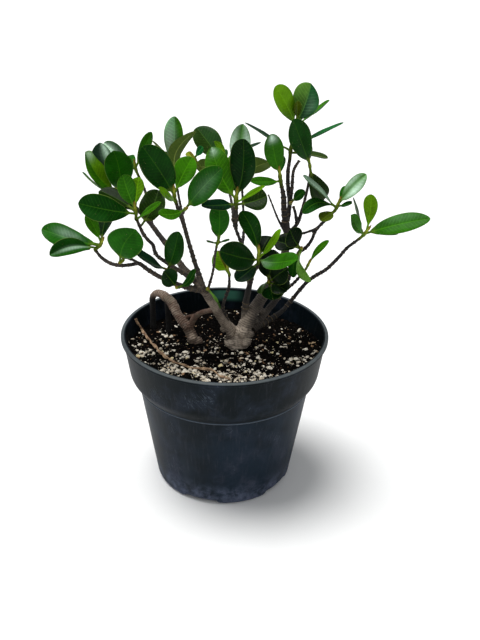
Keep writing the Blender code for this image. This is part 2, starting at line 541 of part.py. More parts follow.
def add_drain(name, angle, cutters):
    ring = (MOAT_INNER + MOAT_OUTER) / 2
    bpy.ops.mesh.primitive_cylinder_add(vertices=CUT_SIDES // 2, radius=DRAIN_RADIUS * MM,
                                        depth=4 * (MOAT_HEIGHT + FLOOR_THICK) * MM)
    cutter = bpy.context.object
    cutter.name = name
    cutter.location = (math.cos(angle) * ring * MM, math.sin(angle) * ring * MM, 0)
    as_cutter(cutter, cutters)


def as_cutter(cutter, cutters):
    for holder in list(cutter.users_collection):
        holder.objects.unlink(cutter)
    cutters.objects.link(cutter)
    cutter.hide_render = True
    cutter.display_type = "WIRE"


def soil_level(y):
    """The smooth height of the soil in mm at y in mm: high at the front, low at the back."""
    t = min(max((y - SOIL_SLOPE_START) / SOIL_SLOPE_LENGTH, 0), 1)
    slope = t * t * (3 - 2 * t)
    return POT_HEIGHT - SOIL_FRONT_DROP - (SOIL_BACK_DROP - SOIL_FRONT_DROP) * slope


def surface_root_route():
    """The loose root's line in mm, before it is lifted by its own radius."""
    route = []
    for across, down, raised, radius in SURFACE_ROOT:
        place = spot(across, down, -50)
        for repeat in range(8):
            ray = place - EYE
            place = EYE + ray * ((soil_level(place.y) + raised - EYE.z) / ray.z)
        route.append(place)
    return route


def soil_height(x, y, root_line):
    """The soil's height in mm with its crumbs and perlite lumps, flat under the loose root."""
    here = Vector((x, y))
    lumps = noise.noise(here.to_3d() / CRUMB_SIZE) + GRAIN_SHARE * noise.noise(here.to_3d() / GRAIN_SIZE)
    from_root = min((here - place.xy).length for place in root_line)
    bed = min(max((from_root - BED_HALF_WIDTH) / BED_EDGE, 0), 1)
    from_foot = min((here - place.xy).length - radius for name, place, sunk, radius in foot_places())
    free = min(max(from_foot / FOOT_EDGE, 0), 1)
    return soil_level(y) + CRUMB_HEIGHT * lumps * bed * free - BED_DEPTH * (1 - bed)


def foot_places():
    """Each foot: its name, its middle in mm, how deep it is sunk, and its radius."""
    places = []
    for branch, end, sunk, radius in FEET:
        across, down, depth, width = BRANCHES[branch][end]
        places.append((f"{branch}_foot_{-end}", spot(across, down, depth), sunk, radius))
    return places


def build_soil(parts, cutters, finish):
    floor = MOAT_HEIGHT + FLOOR_THICK + GAP
    step_height = POT_HEIGHT - STEP_DEPTH
    band_height = POT_HEIGHT - BAND_DEPTH
    top = POT_HEIGHT - SOIL_FRONT_DROP
    side = BAND_TOP_RADIUS - WALL - GAP
    profile = [(side * i / SOIL_RINGS, top) for i in range(SOIL_RINGS + 1)]
    profile += [(BAND_LOW_RADIUS - WALL - GAP, band_height),
                (STEP_RADIUS - WALL - GAP, step_height - GAP),
                (FOOT_RADIUS - WALL - GAP, floor + INNER_CORNER),
                (FOOT_RADIUS - WALL - INNER_CORNER - GAP, floor), (0, floor)]
    rough = turned("soil_blank", profile, parts, finish)
    mesh = evaluated_mesh(rough)
    bpy.data.objects.remove(rough, do_unlink=True)
    root_line, widths = smooth_route(surface_root_route(), [1.0] * len(SURFACE_ROOT), ROOT_SPACING)
    for vertex in mesh.vertices:
        if vertex.co.z * 1000 < top - GAP:
            continue
        x, y = vertex.co.x * 1000, vertex.co.y * 1000
        height = soil_height(x, y, root_line)
        scale = (band_inside(height) - GAP) / side
        vertex.co = (x * scale * MM, y * scale * MM, height * MM)
    split_into_triangles(mesh)
    soil = add_object("soil", mesh, parts, finish)
    for name, place, sunk, radius in foot_places():
        add_hole(name + "_hole", place, sunk + 1.0, radius + GAP, cutters)
    cut = soil.modifiers.new("stem_holes", "BOOLEAN")
    cut.operation = "DIFFERENCE"
    cut.operand_type = "COLLECTION"
    cut.collection = cutters
    return soil


def split_into_triangles(mesh):
    shell = bmesh.new()
    shell.from_mesh(mesh)
    bmesh.ops.triangulate(shell, faces=shell.faces)
    shell.to_mesh(mesh)
    shell.free()


def add_hole(name, place, depth, radius, cutters):
    bpy.ops.mesh.primitive_cylinder_add(vertices=CUT_SIDES, radius=radius * MM, depth=2 * depth * MM)
    cutter = bpy.context.object
    cutter.name = name
    cutter.location = (place.x * MM, place.y * MM, soil_level(place.y) * MM)
    as_cutter(cutter, cutters)


def branch_route(name):
    points = [spot(across, down, depth) for across, down, depth, radius in BRANCHES[name]]
    radii = [radius for across, down, depth, radius in BRANCHES[name]]
    return smooth_route(points, radii, BRANCH_SPACING)


def build_wood(parts, finish):
    work = new_collection("wood_work")
    pieces = []
    for name in BRANCHES:
        route, widths = branch_route(name)
        roundness = 2 if max(widths) > THICK_BRANCH else 1
        pieces.append(tube(name, route, widths, roundness, work))
    for name, place, sunk, radius in foot_places():
        surface = soil_level(place.y)
        heights = [surface - sunk, surface + FOOT_SHOULDER, max(surface + 2 * FOOT_SHOULDER, place.z + 1.0)]
        foot = [Vector((place.x, place.y, height)) for height in heights]
        pieces.append(tube(name, foot, [radius, radius, radius * FOOT_TAPER], 2, work))
    wood = fuse("woody_plant", pieces, parts, finish)
    bpy.data.collections.remove(work)
    return wood


def build_surface_root(parts, finish):
    work = new_collection("root_work")
    root_line = surface_root_route()
    widths = [radius for across, down, raised, radius in SURFACE_ROOT]
    lifted = [place + Vector((0, 0, radius - BED_DEPTH + GAP))
              for place, radius in zip(root_line, widths)]
    route, widths = smooth_route(lifted, widths, ROOT_SPACING)
    root = tube("surface_root", route, widths, 1, work)
    work.objects.unlink(root)
    parts.objects.link(root)
    root.data.materials.append(finish)
    root.data.shade_smooth()
    bpy.data.collections.remove(work)
    return root


def shoot_stem(shoot):
    """The shoot's stem points in mm, starting just past its branch's cut end."""
    route, widths = branch_route(shoot["branch"])
    heading = (route[-1] - route[-2]).normalized()
    start = route[-1] + heading * JOINT_GAP
    points = [start, start + heading * STEM_LEAD]
    points += [spot(*place) for place in shoot["stem"]]
    return points, widths[-1]


def stem_place(points, part):
    """The place a part of the way along the stem's length."""
    lengths = [(b - a).length for a, b in zip(points, points[1:])]
    left = part * sum(lengths)
    for start, end, length in zip(points, points[1:], lengths):
        if left <= length:
            return start + (end - start) * (left / length)
        left -= length
    return points[-1]


def half_width(t, width):
    """Half the blade's width at t from its base to its tip: widest past the middle."""
    widest = BLADE_BASE / (BLADE_BASE + BLADE_END)
    most = widest ** BLADE_BASE * (1 - widest) ** BLADE_END
    return 0.5 * width * t ** BLADE_BASE * (1 - t) ** BLADE_END / most


def leaf_frame(root, tip, turn):
    """The leaf's own directions: along it, across its blade, and out of its upper face."""
    along = (tip - root).normalized()
    to_eye = (EYE - (root + tip) / 2).normalized()
    face = (to_eye - along * to_eye.dot(along)).normalized()
    roll = along.cross(face)
    if roll.z < 0:
        roll = -roll
    face = (face * math.cos(turn) + roll * math.sin(turn)).normalized()
    return along, along.cross(face), face


def leaf_rings(root, tip, width, turn, fold, arch, sway):
    """Rings of four points round the leaf (edge, upper rib, edge, lower rib), in mm."""
    length = (tip - root).length
    along, across, face = leaf_frame(root, tip, math.radians(turn))
    stalk = min(STALK_LENGTH, STALK_MOST * length) / length
    fold = math.radians(fold)
    rings = []
    for s in (0.0, stalk, stalk + STALK_BLEND) + BLADE_STATIONS:
        t = (s - stalk) / (1 - stalk)
        half = STALK_RADIUS
        if 0 < t < 1:
            half = max(STALK_RADIUS, half_width(t, width))
        blade = min(max(t / STALK_BLEND, 0), 1)
        bend = length * math.sin(math.pi * s)
        middle = root + along * (length * s) + (face * arch + across * sway) * bend
        lift = face * (half * math.sin(fold) * blade)
        reach = across * (half * math.cos(fold * blade))
        thick = STALK_RADIUS * (1 - blade) + BLADE_THICK / 2 * blade
        rings.append([middle - reach + lift, middle + face * thick,
                      middle + reach + lift, middle - face * thick])
    return rings


def leaf(name, root, tip, width, turn, fold, arch, sway, collection):
    shell = bmesh.new()
    rings = [[shell.verts.new(place * MM) for place in ring]
             for ring in leaf_rings(root, tip, width, turn, fold, arch, sway)]
    for ring, following in zip(rings, rings[1:]):
        for k in range(4):
            n = (k + 1) % 4
            # the diagonal starts on the leaf's edge, alike on both faces
            if k in (0, 2):
                shell.faces.new((ring[k], ring[n], following[n]))
                shell.faces.new((ring[k], following[n], following[k]))
            else:
                shell.faces.new((ring[k], ring[n], following[k]))
                shell.faces.new((ring[n], following[n], following[k]))
    shell.faces.new(rings[0])
    shell.faces.new(rings[-1])
    bmesh.ops.triangulate(shell, faces=shell.faces)
    bmesh.ops.recalc_face_normals(shell, faces=shell.faces)
    mesh = bpy.data.meshes.new(name)
    shell.to_mesh(mesh)
    shell.free()
    return add_object(name, mesh, collection)


def build_shoot(name, shoot, parts):
    finish = material(name + "_green", (0.03, 0.16, 0.015), 0.35)
    work = new_collection(name + "_work")
    points, width = shoot_stem(shoot)
    bud = points[-1] + (points[-1] - points[-2]).normalized() * BUD_LENGTH
    route = points + [bud]
    slim = max(width, STEM_LEAST)
    widths = [width] * 2 + [slim] * (len(points) - 3) + [BUD_BASE, BUD_TIP]
    pieces = [tube(name + "_stem", route, widths, 0, work)]
    for i, (part, tip, *shape) in enumerate(shoot["leaves"]):
        root = stem_place(points, part)
        pieces.append(leaf(f"{name}_leaf_{i}", root, spot(*tip), *shape, work))
    shoot_object = fuse(name, pieces, parts, finish)
    bpy.data.collections.remove(work)
    return shoot_object


def build():
    clear_scene()
    parts = new_collection("potted_green_island_ficus")
    pot_cutters = new_collection("pot_cutters")
    soil_cutters = new_collection("soil_cutters")
    pot_finish = material("pot_plastic", (0.016, 0.022, 0.028), 0.55)
    soil_finish = material("soil_mix", (0.02, 0.016, 0.012), 0.95)
    bark_finish = material("bark", (0.13, 0.10, 0.075), 0.85)
    root_finish = material("dry_root", (0.22, 0.13, 0.08), 0.8)
    build_wood(parts, bark_finish)
    build_surface_root(parts, root_finish)
    for name, shoot in SHOOTS.items():
        build_shoot(name, shoot, parts)
    build_soil(parts, soil_cutters, soil_finish)
    build_pot(parts, pot_cutters, pot_finish)


build()
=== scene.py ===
import math
import random

import bmesh
import bpy
import numpy as np
from mathutils import Matrix, Vector, noise
from mathutils.kdtree import KDTree


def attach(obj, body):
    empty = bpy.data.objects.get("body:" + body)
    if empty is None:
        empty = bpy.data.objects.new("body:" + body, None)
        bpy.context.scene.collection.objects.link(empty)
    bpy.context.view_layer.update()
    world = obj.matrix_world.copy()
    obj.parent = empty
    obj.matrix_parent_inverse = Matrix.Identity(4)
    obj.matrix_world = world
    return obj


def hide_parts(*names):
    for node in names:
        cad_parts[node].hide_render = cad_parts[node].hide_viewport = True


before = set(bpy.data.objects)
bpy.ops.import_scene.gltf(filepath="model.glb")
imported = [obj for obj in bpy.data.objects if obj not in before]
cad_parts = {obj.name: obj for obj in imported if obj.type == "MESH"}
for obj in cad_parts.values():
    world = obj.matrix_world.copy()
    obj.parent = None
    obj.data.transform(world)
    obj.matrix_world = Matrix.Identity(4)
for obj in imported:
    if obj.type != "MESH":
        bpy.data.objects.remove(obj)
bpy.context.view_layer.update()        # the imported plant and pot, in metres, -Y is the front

mm = 0.001
print("frame loaded:", len(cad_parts), "nodes")

# Places on the plant are written as (across, down, depth): across and down are where the place
# shows in the front view of 480 by 640, and depth is its distance in mm behind the pot's axis.
view = {
    "width": 480, "height": 640,
    "eye": (11.5, -581.3, 433.8),       # mm
    "lookDown": 27.18, "lean": 1.18,    # degrees
    "focal": 850.0,                     # in the view's own units
}

# Each branch is a line of places with the radius in mm at each
branches = {
    "trunk": [(237, 347, -4, 8.0), (238, 339, -4, 7.2), (240, 331, -4, 5.6)],
    "left_arm": [(239, 338, -4, 5.6), (231.5, 330, -5, 4.3), (223, 320, -8, 3.8),
                 (215.5, 307.5, -12, 3.4), (207, 295, -16, 3.2), (199, 284, -19, 2.8)],
    "to_middle_left": [(203, 289, -18, 2.6), (198, 272, -23, 1.9), (194, 260, -26, 1.6),
                       (189, 243, -30, 1.5), (184, 226, -34, 1.4), (179, 212, -35, 1.4),
                       (176.5, 204, -35, 1.2)],
    "middle_left_spur": [(180.5, 216, -35, 1.2), (183, 212.5, -39, 1.1), (184.5, 210, -42, 1.0)],
    "back_left": [(200, 286, -19, 2.5), (190, 275, -11, 2.5), (182, 266, -5, 2.4),
                  (172, 252, 3, 2.2), (160, 236, 11, 2.0), (150, 223, 15, 1.8),
                  (137, 209, 15, 1.6), (128, 202, 11, 1.3), (123, 199, 8, 1.1)],
    "far_back_left": [(152, 226, 15, 1.5), (149, 205, 24, 1.3), (144, 188, 30, 1.1),
                      (139, 177, 32, 1.0)],
    "to_left": [(196, 282, -19, 2.0), (187.5, 276, -23, 1.7), (172, 266, -27, 1.5),
                (157, 255.5, -31, 1.4), (153, 245, -34, 1.4), (149, 241, -35, 1.3),
                (144, 235, -36, 1.3), (140, 227, -38, 1.2), (137, 220, -39, 1.1)],
    "to_left_leaf": [(173, 266.5, -27, 1.3), (171, 269, -33, 1.2), (169, 269.5, -37, 1.0)],
    "low_left": [(203, 290, -18, 2.6), (190, 288, -22, 2.1), (180, 285, -24, 1.7),
                 (168, 280, -27, 1.7), (159, 276.5, -28, 1.7), (147, 269, -31, 1.6),
                 (139, 263.5, -32, 1.5), (131, 264.7, -32, 1.4), (121, 265.5, -32, 1.4),
                 (111, 263.5, -31, 1.4), (102, 258, -30, 1.3), (96.5, 251.5, -28, 1.1)],
    "low_left_fork": [(140, 264, -32, 1.2), (132, 259.5, -38, 1.1), (126, 257.5, -42, 1.0)],
    "low_left_spur": [(181, 285.5, -24, 1.3), (179, 287, -30, 1.2), (177.5, 287.5, -34, 1.0)],
    "left_arm_spur": [(206, 293, -16, 1.4), (206, 290.5, -22, 1.2), (207, 289.5, -25, 1.0)],
    "thin_middle": [(207, 294, -16, 1.4), (209, 286, -20, 1.1), (213, 271, -26, 1.0),
                    (215, 255, -31, 1.0), (216.5, 247, -33, 0.89)],
    "thin_front": [(229, 325, -6, 1.9), (224.5, 313, -10, 1.3), (223, 306, -12, 1.2),
                   (226, 296, -16, 1.2), (229, 287, -19, 1.2), (229.3, 276, -21, 1.0)],
    "arched_root": [(195, 343, 3, 4.6), (188.5, 329, 6, 4.1), (178, 315, 12, 3.7),
                    (172, 303, 18, 4.1), (164, 295.5, 24, 3.5), (156.5, 293, 29, 2.8),
                    (152.7, 297.5, 32, 2.5), (152.7, 305, 32, 2.5)],
    "second_leg": [(167.5, 301, 25, 2.6), (168, 311, 25, 2.4), (168.5, 320, 25, 2.4)],
    "root_link": [(189, 329, 6, 3.0), (194.5, 318, 3, 2.3), (202, 312.5, -2, 2.0),
                  (214, 310, -11, 2.0)],
    "thin_link": [(181, 319, 11, 1.4), (188, 316.5, 9, 1.2), (198, 314.5, 1, 1.3)],
    "right_arm": [(240, 338, -4, 6.3), (245, 326, -2, 5.6), (250, 315.5, 0, 5.0),
                  (257, 305, 4, 4.6), (263, 296, 5, 4.2), (269, 287, 7, 3.8),
                  (276, 276, 8, 3.4), (283, 260, 8, 3.2), (287, 240, 8, 2.9),
                  (286, 224, 7, 2.7), (284, 209, 5, 2.2), (283.5, 196, 3, 1.8),
                  (281.7, 187, 0, 1.4)],
    "to_top": [(286, 228, 8, 2.0), (289.5, 205, 15, 1.7), (288, 186, 18, 1.6),
               (288, 172, 18, 1.5), (289.5, 161, 16, 1.3)],
    "bare_stub": [(289.5, 206, 15, 1.6), (292, 188, 14, 1.3), (293.5, 171, 12, 1.2),
                  (299, 161, 11, 1.1)],
    "inner_spur": [(271, 284, 7, 1.5), (269.5, 284, -3, 1.3), (269, 283, -7, 1.1)],
    "to_low_middle": [(244, 324, -2, 2.9), (245.5, 305, 0, 2.6), (249, 288, -3, 2.2),
                      (252, 275, -11, 1.7), (256, 268, -22, 1.4), (258, 264, -28, 1.2)],
    "to_middle": [(249, 288, -1, 1.3), (247, 270, 3, 1.2), (245, 256, 0, 1.2),
                  (240, 240, -11, 1.2), (236, 229, -22, 1.2), (235, 218.5, -32, 2.3),
                  (236, 208, -38, 1.4)],
    "behind_middle": [(242, 247, -5, 1.3), (244, 228, 11, 1.1), (243, 205, 27, 1.0),
                      (242, 187, 36, 1.0)],
    "back_middle": [(234, 222, -28, 1.1), (232, 205, -4, 1.1), (228, 186, 19, 1.0),
                    (225.5, 172, 30, 1.0)],
    "back_middle_side": [(228, 186, 19, 0.90), (214, 176, 23, 0.81), (203, 170, 24, 0.81)],
    "back_of_left": [(190, 247, -28, 1.2), (184, 222, -5, 1.1), (179, 198, 14, 1.0),
                     (176, 180, 23, 1.0)],
    "right_stem": [(252, 328, 0, 3.5), (268.5, 309, 9, 2.7), (281, 293, 14, 2.1),
                   (288, 279, 14, 1.8), (293, 266, 11, 1.6), (299, 253, 7, 1.5),
                   (306, 247.5, 3, 1.3), (311.6, 240, 0, 1.3), (316, 230, -3, 1.3),
                   (325, 220.5, -5, 1.2), (333, 212.5, -7, 1.0)],
    "right_stem_spur": [(299, 253, 7, 1.4), (300.5, 250, -7, 1.1), (301, 249.5, -12, 0.90)],
    "cross_stem": [(290, 232, 7, 1.0), (301, 233.7, 3, 1.0), (315.5, 229, -3, 1.0)],
    "to_right": [(288, 234, 8, 1.6), (297, 224, 9, 1.4), (301.5, 212, 12, 1.3),
                 (305, 199, 14, 1.2), (308, 186, 15, 1.1), (310, 175, 15, 1.0)],
    "bare_twig": [(285, 232, 8, 1.1), (278, 219, 7, 0.90), (272, 204, 5, 0.75),
                  (268.5, 195, 4, 0.75)],
    "bare_knob": [(297, 224, 9, 1.4), (295.5, 214, 5, 1.2), (293.5, 207, 3, 1.1)],
    "far_right": [(253, 329, 0, 3.0), (271.5, 318.5, 11, 2.2), (282, 311, 16, 1.9),
                  (288.4, 303.7, 19, 1.7), (296, 294.5, 19, 1.6), (306, 283, 16, 1.5),
                  (315, 276, 12, 1.5), (326.7, 269, 8, 1.4), (339, 257, 4, 1.4),
                  (347, 248, 1, 1.3), (358.5, 239.3, -3, 1.1)],
    "right_twig": [(281, 294, 14, 1.3), (294.8, 282, 5, 1.2), (305, 270, -5, 0.94)],
    "leaf_spur": [(289.5, 205, 15, 1.4), (290.4, 203.4, 11, 1.1)],
}
# where wood goes into the mix: (branch, which of its places, depth, radius), in mm
feet = [("trunk", 0, 14.0, 9.0), ("arched_root", 0, 12.0, 6.0), ("arched_root", -1, 12.0, 2.6),
        ("second_leg", -1, 10.0, 2.5)]

# the loose root: (across, down, height over the mix, radius)
looseRoot = [(135.5, 319.5, 13.5, 1.1), (138.0, 324.5, 9.0, 1.2), (142.0, 330.5, 4.0, 1.2),
             (147.5, 338, 0.5, 1.2), (153.6, 345.8, 0, 1.2), (161.3, 353.5, 0, 1.3),
             (169, 360, 0, 1.4), (179.6, 364.2, 0, 1.1), (192, 368, 0, 1.0),
             (207, 369.5, 0, 1.2), (215, 372.6, 0, 1.1), (221, 376.8, 0, 0.9),
             (230, 379.0, 0, 0.8)]

# Each shoot's stem goes on from the end of its branch. Each leaf is (where along the stem it grows,
# its tip, width in mm, turn about its length and fold at its midrib in degrees, arch, tone), and
# then what sets it apart: "sway" is its sideways bend, "base" and "end" how slender its ends are,
# "half" the tone of the half on its right, partly its own colour and partly painted light or shade
# on that side of the fold, "root" where it grows if that isn't on the stem, and each "glare" a
# painted highlight, a pale patch: (place across, place along, how wide, how high, strength).
shoots = {
    "far_left": dict(branch="low_left", stem=[(99.5, 246, -28), (102, 241, -30)], leaves=[
        (0.55, (41.5, 229, -31), 17, 22, 14, 0.05, "mid",
         {"sway": -0.05, "glare": [(0.35, 0.5, 0.35, 0.22, 0.3)]}),
        (0.30, (49.6, 255.4, -56), 14.5, 34, 16, 0.04, "mid",
         {"sway": 0.08, "base": 0.75, "half": "dark", "glare": [(-0.2, 0.45, 0.2, 0.35, 0.5)]}),
        (0.85, (86.0, 213.5, -35), 9.5, 25, 10, 0.03, "bright"),
        (0.75, (109.0, 207.0, -8), 12.5, 25, 12, 0.04, "deep"),
        (0.65, (61.0, 238.0, -5), 11, 20, 12, 0.05, "mid")]),
    "low_left": dict(branch="low_left_fork", stem=[(122.5, 261, -46), (119.5, 262.5, -47)],
                     bud=1.2, leaves=[
        (0.95, (136.0, 229.5, -54), 25, 5, 18, 0.05, "mid",
         {"base": 0.8, "end": 0.52, "sway": -0.09}),
        (0.60, (124.0, 238.0, -22), 12, 20, 12, 0.05, "deep")]),
    "left": dict(branch="to_left", stem=[(136, 214, -40), (135, 207, -42)], leaves=[
        (0.80, (122.5, 175.0, -46), 13, 12, 12, 0.03, "fresh", {"sway": -0.03}),
        (0.85, (139.0, 177.0, -35), 12, 35, 14, 0.03, "lime"),
        (0.70, (99.5, 190.5, -30), 14, 42, 18, 0.03, "shade"),
        (0.45, (78.0, 203.3, -59), 18.5, 12, 12, 0.04, "dark", {"sway": -0.03}),
        (0.05, (158.5, 190.0, -22), 19, 25, 16, 0.04, "shade",
         {"root": (141, 226, -37), "base": 0.6, "end": 0.55, "sway": 0.08}),
        (0.03, (161.0, 202.2, -60), 5, 30, 18, 0.02, "bright"),
        (0.55, (117.0, 198.0, -8), 13.5, 20, 12, 0.05, "deep")]),
    "upper_left": dict(branch="back_left", stem=[(118, 193, 3), (116, 187, 0)], leaves=[
        (0.55, (85.0, 152.0, -3), 17, 38, 20, 0.05, "bright",
         {"sway": -0.16, "half": "lime", "glare": [(0.4, 0.92, 0.5, 0.1, 0.5)]}),
        (0.70, (100.0, 142.5, 0), 19, -30, 24, 0.04, "slate",
         {"half": "teal", "glare": [(0.42, 0.82, 0.36, 0.24, 1.0)]}),
        (0.55, (113.5, 150.5, -21), 20.5, 10, 10, 0.05, "mid", {"sway": 0.05}),
        (0.35, (82.4, 172.5, -6), 11, 84, 12, -0.08, "mid"),
        (0.60, (121.0, 168.0, 18), 14.5, 20, 12, 0.05, "mid")]),
    "top_left": dict(branch="far_back_left", stem=[(136, 170, 32), (135, 165, 32)], leaves=[
        (0.60, (104.0, 142.5, 27), 12, 25, 14, 0.05, "pale",
         {"sway": -0.03, "half": "grey", "glare": [(-0.35, 0.78, 0.6, 0.26, 1.1)]}),
        (0.75, (151.8, 132.0, 24), 9, 20, 14, 0.03, "fresh"),
        (0.50, (123.0, 158.0, 58), 14.5, 20, 12, 0.05, "mid")]),
    "middle_left": dict(branch="to_middle_left", stem=[(174.5, 197, -36), (174, 190, -38)], leaves=[
        (0.55, (142.5, 146.5, -49), 21, 8, 10, 0.05, "dark", {"base": 0.75, "end": 0.5}),
        (0.70, (192.5, 157.3, -32), 16, 20, 12, 0.03, "bright"),
        (0.15, (158.5, 187.8, -59), 6, 30, 20, 0.04, "lime", {"sway": -0.05}),
        (0.60, (158.0, 166.0, -6), 14.5, 20, 12, 0.05, "dark")]),
    "middle_left_side": dict(branch="middle_left_spur", stem=[(186, 208.5, -45)], leaves=[
        (0.75, (222.0, 168.3, -57), 18.5, 22, 14, 0.05, "mid",
         {"base": 0.75, "glare": [(0.1, 0.55, 0.5, 0.3, 0.08)]}),
        (0.45, (158.5, 214.0, -57), 9, 28, 12, 0.04, "bright", {"sway": -0.13}),
        (0.60, (206.0, 186.0, -18), 13, 20, 12, 0.05, "dark")]),
    "back_left": dict(branch="back_of_left", stem=[(175, 174, 24), (174.5, 168, 24)], leaves=[
        (0.60, (174.5, 116.2, 19), 15.5, 15, 24, 0.04, "sheen",
         {"half": "bright", "glare": [(-0.5, 0.45, 0.5, 0.4, 1.0)]}),
        (0.50, (194.5, 131.0, 6), 13, 142, 10, 0.04, "olive", {"sway": 0.14}),
        (0.40, (152.5, 140.5, 2), 11, 105, 10, 0.04, "brown", {"sway": 0.08}),
        (0.50, (168.0, 152.0, 54), 14.5, 20, 12, 0.05, "dark")]),
    "back_middle": dict(branch="back_middle", stem=[(224.5, 165, 31), (224, 160, 31)], leaves=[
        (0.60, (196.5, 127.5, 46), 20.5, 20, 16, 0.05, "umber",
         {"sway": -0.01, "base": 0.8, "half": "cool"}),
        (0.80, (214.5, 141.0, 19), 5, 20, 12, 0.03, "lime", {"sway": 0.1}),
        (0.25, (195.8, 166.5, 36), 13, 150, 10, 0.03, "olive"),
        (0.50, (216.0, 150.0, 62), 14.5, 20, 12, 0.05, "dark")]),
    "back_middle_side": dict(branch="back_middle_side", stem=[(198, 164, 24), (193.5, 157, 24)],
                             leaves=[
        (0.80, (186.5, 152.5, 30), 5, 20, 12, 0.03, "yellow"),
        (0.90, (203.0, 146.8, 22), 6.5, 30, 12, 0.03, "teal")]),
    "middle": dict(branch="to_middle", stem=[(236, 200, -40), (237, 192, -42)], leaves=[
        (0.60, (243.6, 138.7, -49), 18.7, 18, 12, 0.03, "deep", {"sway": 0.06}),
        (0.50, (211.5, 147.3, -35), 18, 12, 12, 0.05, "bright",
         {"sway": -0.07, "base": 0.8, "glare": [(0.1, 0.94, 0.4, 0.08, 0.5)]}),
        (0.70, (232.0, 155.0, -27), 13, 28, 14, 0.03, "bright", {"sway": 0.05}),
        (0.35, (265.0, 186.3, -62), 6, 52, 20, 0.03, "lime", {"sway": 0.05}),
        (0.22, (267.0, 196.0, -36), 16.5, 26, 12, 0.05, "shade", {"sway": 0.08}),
        (0.25, (201.5, 205.8, -55), 11, 46, 12, 0.04, "blue", {"base": 0.6, "sway": -0.06}),
        (0.55, (236.0, 166.0, -8), 13.5, 20, 12, 0.05, "dark")]),
    "behind": dict(branch="behind_middle", stem=[(241, 180, 38), (240, 172, 38)], leaves=[
        (0.65, (243.0, 123.8, 27), 16, 12, 14, 0.05, "bright",
         {"sway": -0.02, "half": "pale",
          "glare": [(0.65, 0.62, 0.4, 0.4, 1.0), (-0.75, 0.5, 0.4, 0.4, 1.0)]}),
        (0.50, (268.3, 162.0, 27), 17, 150, 14, 0.05, "olive", {"sway": 0.06}),
        (0.80, (261.0, 142.5, 22), 6, 86, 8, 0.2, "slate"),
        (0.60, (243.0, 150.0, 68), 14.5, 20, 12, 0.05, "dark")]),
    "centre_right": dict(branch="right_arm", stem=[(280.3, 179, -1), (279.5, 171, -3)], leaves=[
        (0.70, (271.0, 134.0, -8), 14.5, 12, 12, 0.04, "fresh",
         {"base": 0.85, "sway": -0.03, "glare": [(0.1, 0.9, 0.5, 0.09, 0.8)]}),
        (0.35, (250.7, 181.8, -20), 8.5, 34, 16, 0.05, "fresh", {"sway": -0.05}),
        (0.60, (276.0, 152.0, 26), 11, 20, 12, 0.05, "dark")]),
    "top": dict(branch="to_top", stem=[(291, 148, 16), (295, 130, 15), (297.5, 117, 14)], leaves=[
        (0.80, (275.5, 86.0, -4), 15, 26, 14, 0.04, "lime", {"end": 0.48}),
        (0.85, (311.3, 83.5, 5), 20.5, 18, 12, 0.04, "moss",
         {"sway": 0.05, "half": "teal", "glare": [(0.45, 0.5, 0.4, 0.3, 0.12)]}),
        (0.82, (329.5, 100.0, 22), 10, 72, 12, -0.03, "bright", {"half": "grey"}),
        (0.92, (297.5, 101.0, 2), 6, 20, 12, 0.02, "olive"),
        (0.22, (244.5, 122.5, 19), 12, 78, 8, 0.0, "slate"),
        (0.29, (343.5, 122.3, 32), 11, 74, 8, 0.0, "teal"),
        (0.18, (328.0, 158.0, 14), 9, 118, 10, 0.03, "dark", {"sway": 0.03}),
        (0.75, (310.5, 97.0, 42), 12, 20, 12, 0.05, "mid")]),
    "right": dict(branch="to_right", stem=[(310, 167, 14), (309, 161, 12)], leaves=[
        (0.70, (293.0, 119.3, -8), 17, 15, 12, 0.04, "dark", {"sway": -0.01}),
        (0.55, (324.5, 199.3, 22), 16.5, 26, 14, 0.05, "shade", {"sway": 0.1}),
        (0.60, (301.0, 140.0, 34), 12, 20, 12, 0.05, "dark")]),
    "outer_right": dict(branch="right_stem", stem=[(337, 207, -8), (339, 202, -9)], leaves=[
        (0.80, (366.5, 174.3, -16), 11.4, 22, 10, 0.04, "bright",
         {"base": 0.85, "half": "pale",
          "glare": [(0.5, 0.5, 0.5, 0.4, 0.9), (-0.7, 0.6, 0.25, 0.3, 0.6)]}),
        (0.40, (303.0, 175.8, -19), 10, 70, 10, 0.03, "grey", {"glare": [(0, 0.6, 0.8, 0.5, 0.3)]}),
        (0.60, (352.0, 203.5, -16), 7, 60, 12, 0.03, "dark", {"sway": 0.05}),
        (0.15, (321.0, 221.0, -24), 10, 30, 14, 0.05, "olive"),
        (0.55, (302.5, 213.0, -34), 9.5, 28, 12, 0.04, "dark", {"sway": 0.13}),
        (0.70, (352.0, 187.0, 16), 10.5, 20, 12, 0.05, "mid")]),
    "far_right": dict(branch="far_right", stem=[(364, 234.5, -4), (367.5, 230, -5)], leaves=[
        (0.60, (430.5, 218.5, -12), 15, 22, 12, 0.06, "fresh",
         {"base": 0.78, "end": 0.62, "glare": [(-0.6, 0.6, 0.4, 0.35, 0.06)]}),
        (0.85, (371.5, 194.3, -5), 11, 14, 12, 0.03, "lime", {"sway": 0.04, "base": 1.3}),
        (0.45, (353.0, 197.0, 8), 11, 78, 8, 0.0, "cool"),
        (0.50, (350.8, 215.0, -24), 10, 34, 20, 0.04, "fresh", {"sway": -0.06, "base": 1.3}),
        (0.65, (398.0, 228.5, 24), 13, 25, 12, 0.05, "mid")]),
    "thin_middle": dict(branch="thin_middle", stem=[(218, 242, -34), (218.8, 238, -34)], leaves=[
        (0.60, (219.0, 203.5, -40), 14.5, 10, 16, 0.04, "mid", {"sway": 0.035}),
        (0.40, (207.0, 241.8, -42), 5, 70, 8, 0.02, "dark"),
        (0.45, (229.5, 240.0, -37), 5, 70, 8, 0.02, "dark"),
        (0.65, (219.0, 222.0, -8), 10.5, 20, 12, 0.05, "dark")]),
    "thin_front": dict(branch="thin_front", stem=[(228, 270, -22), (227.5, 266, -22)], leaves=[
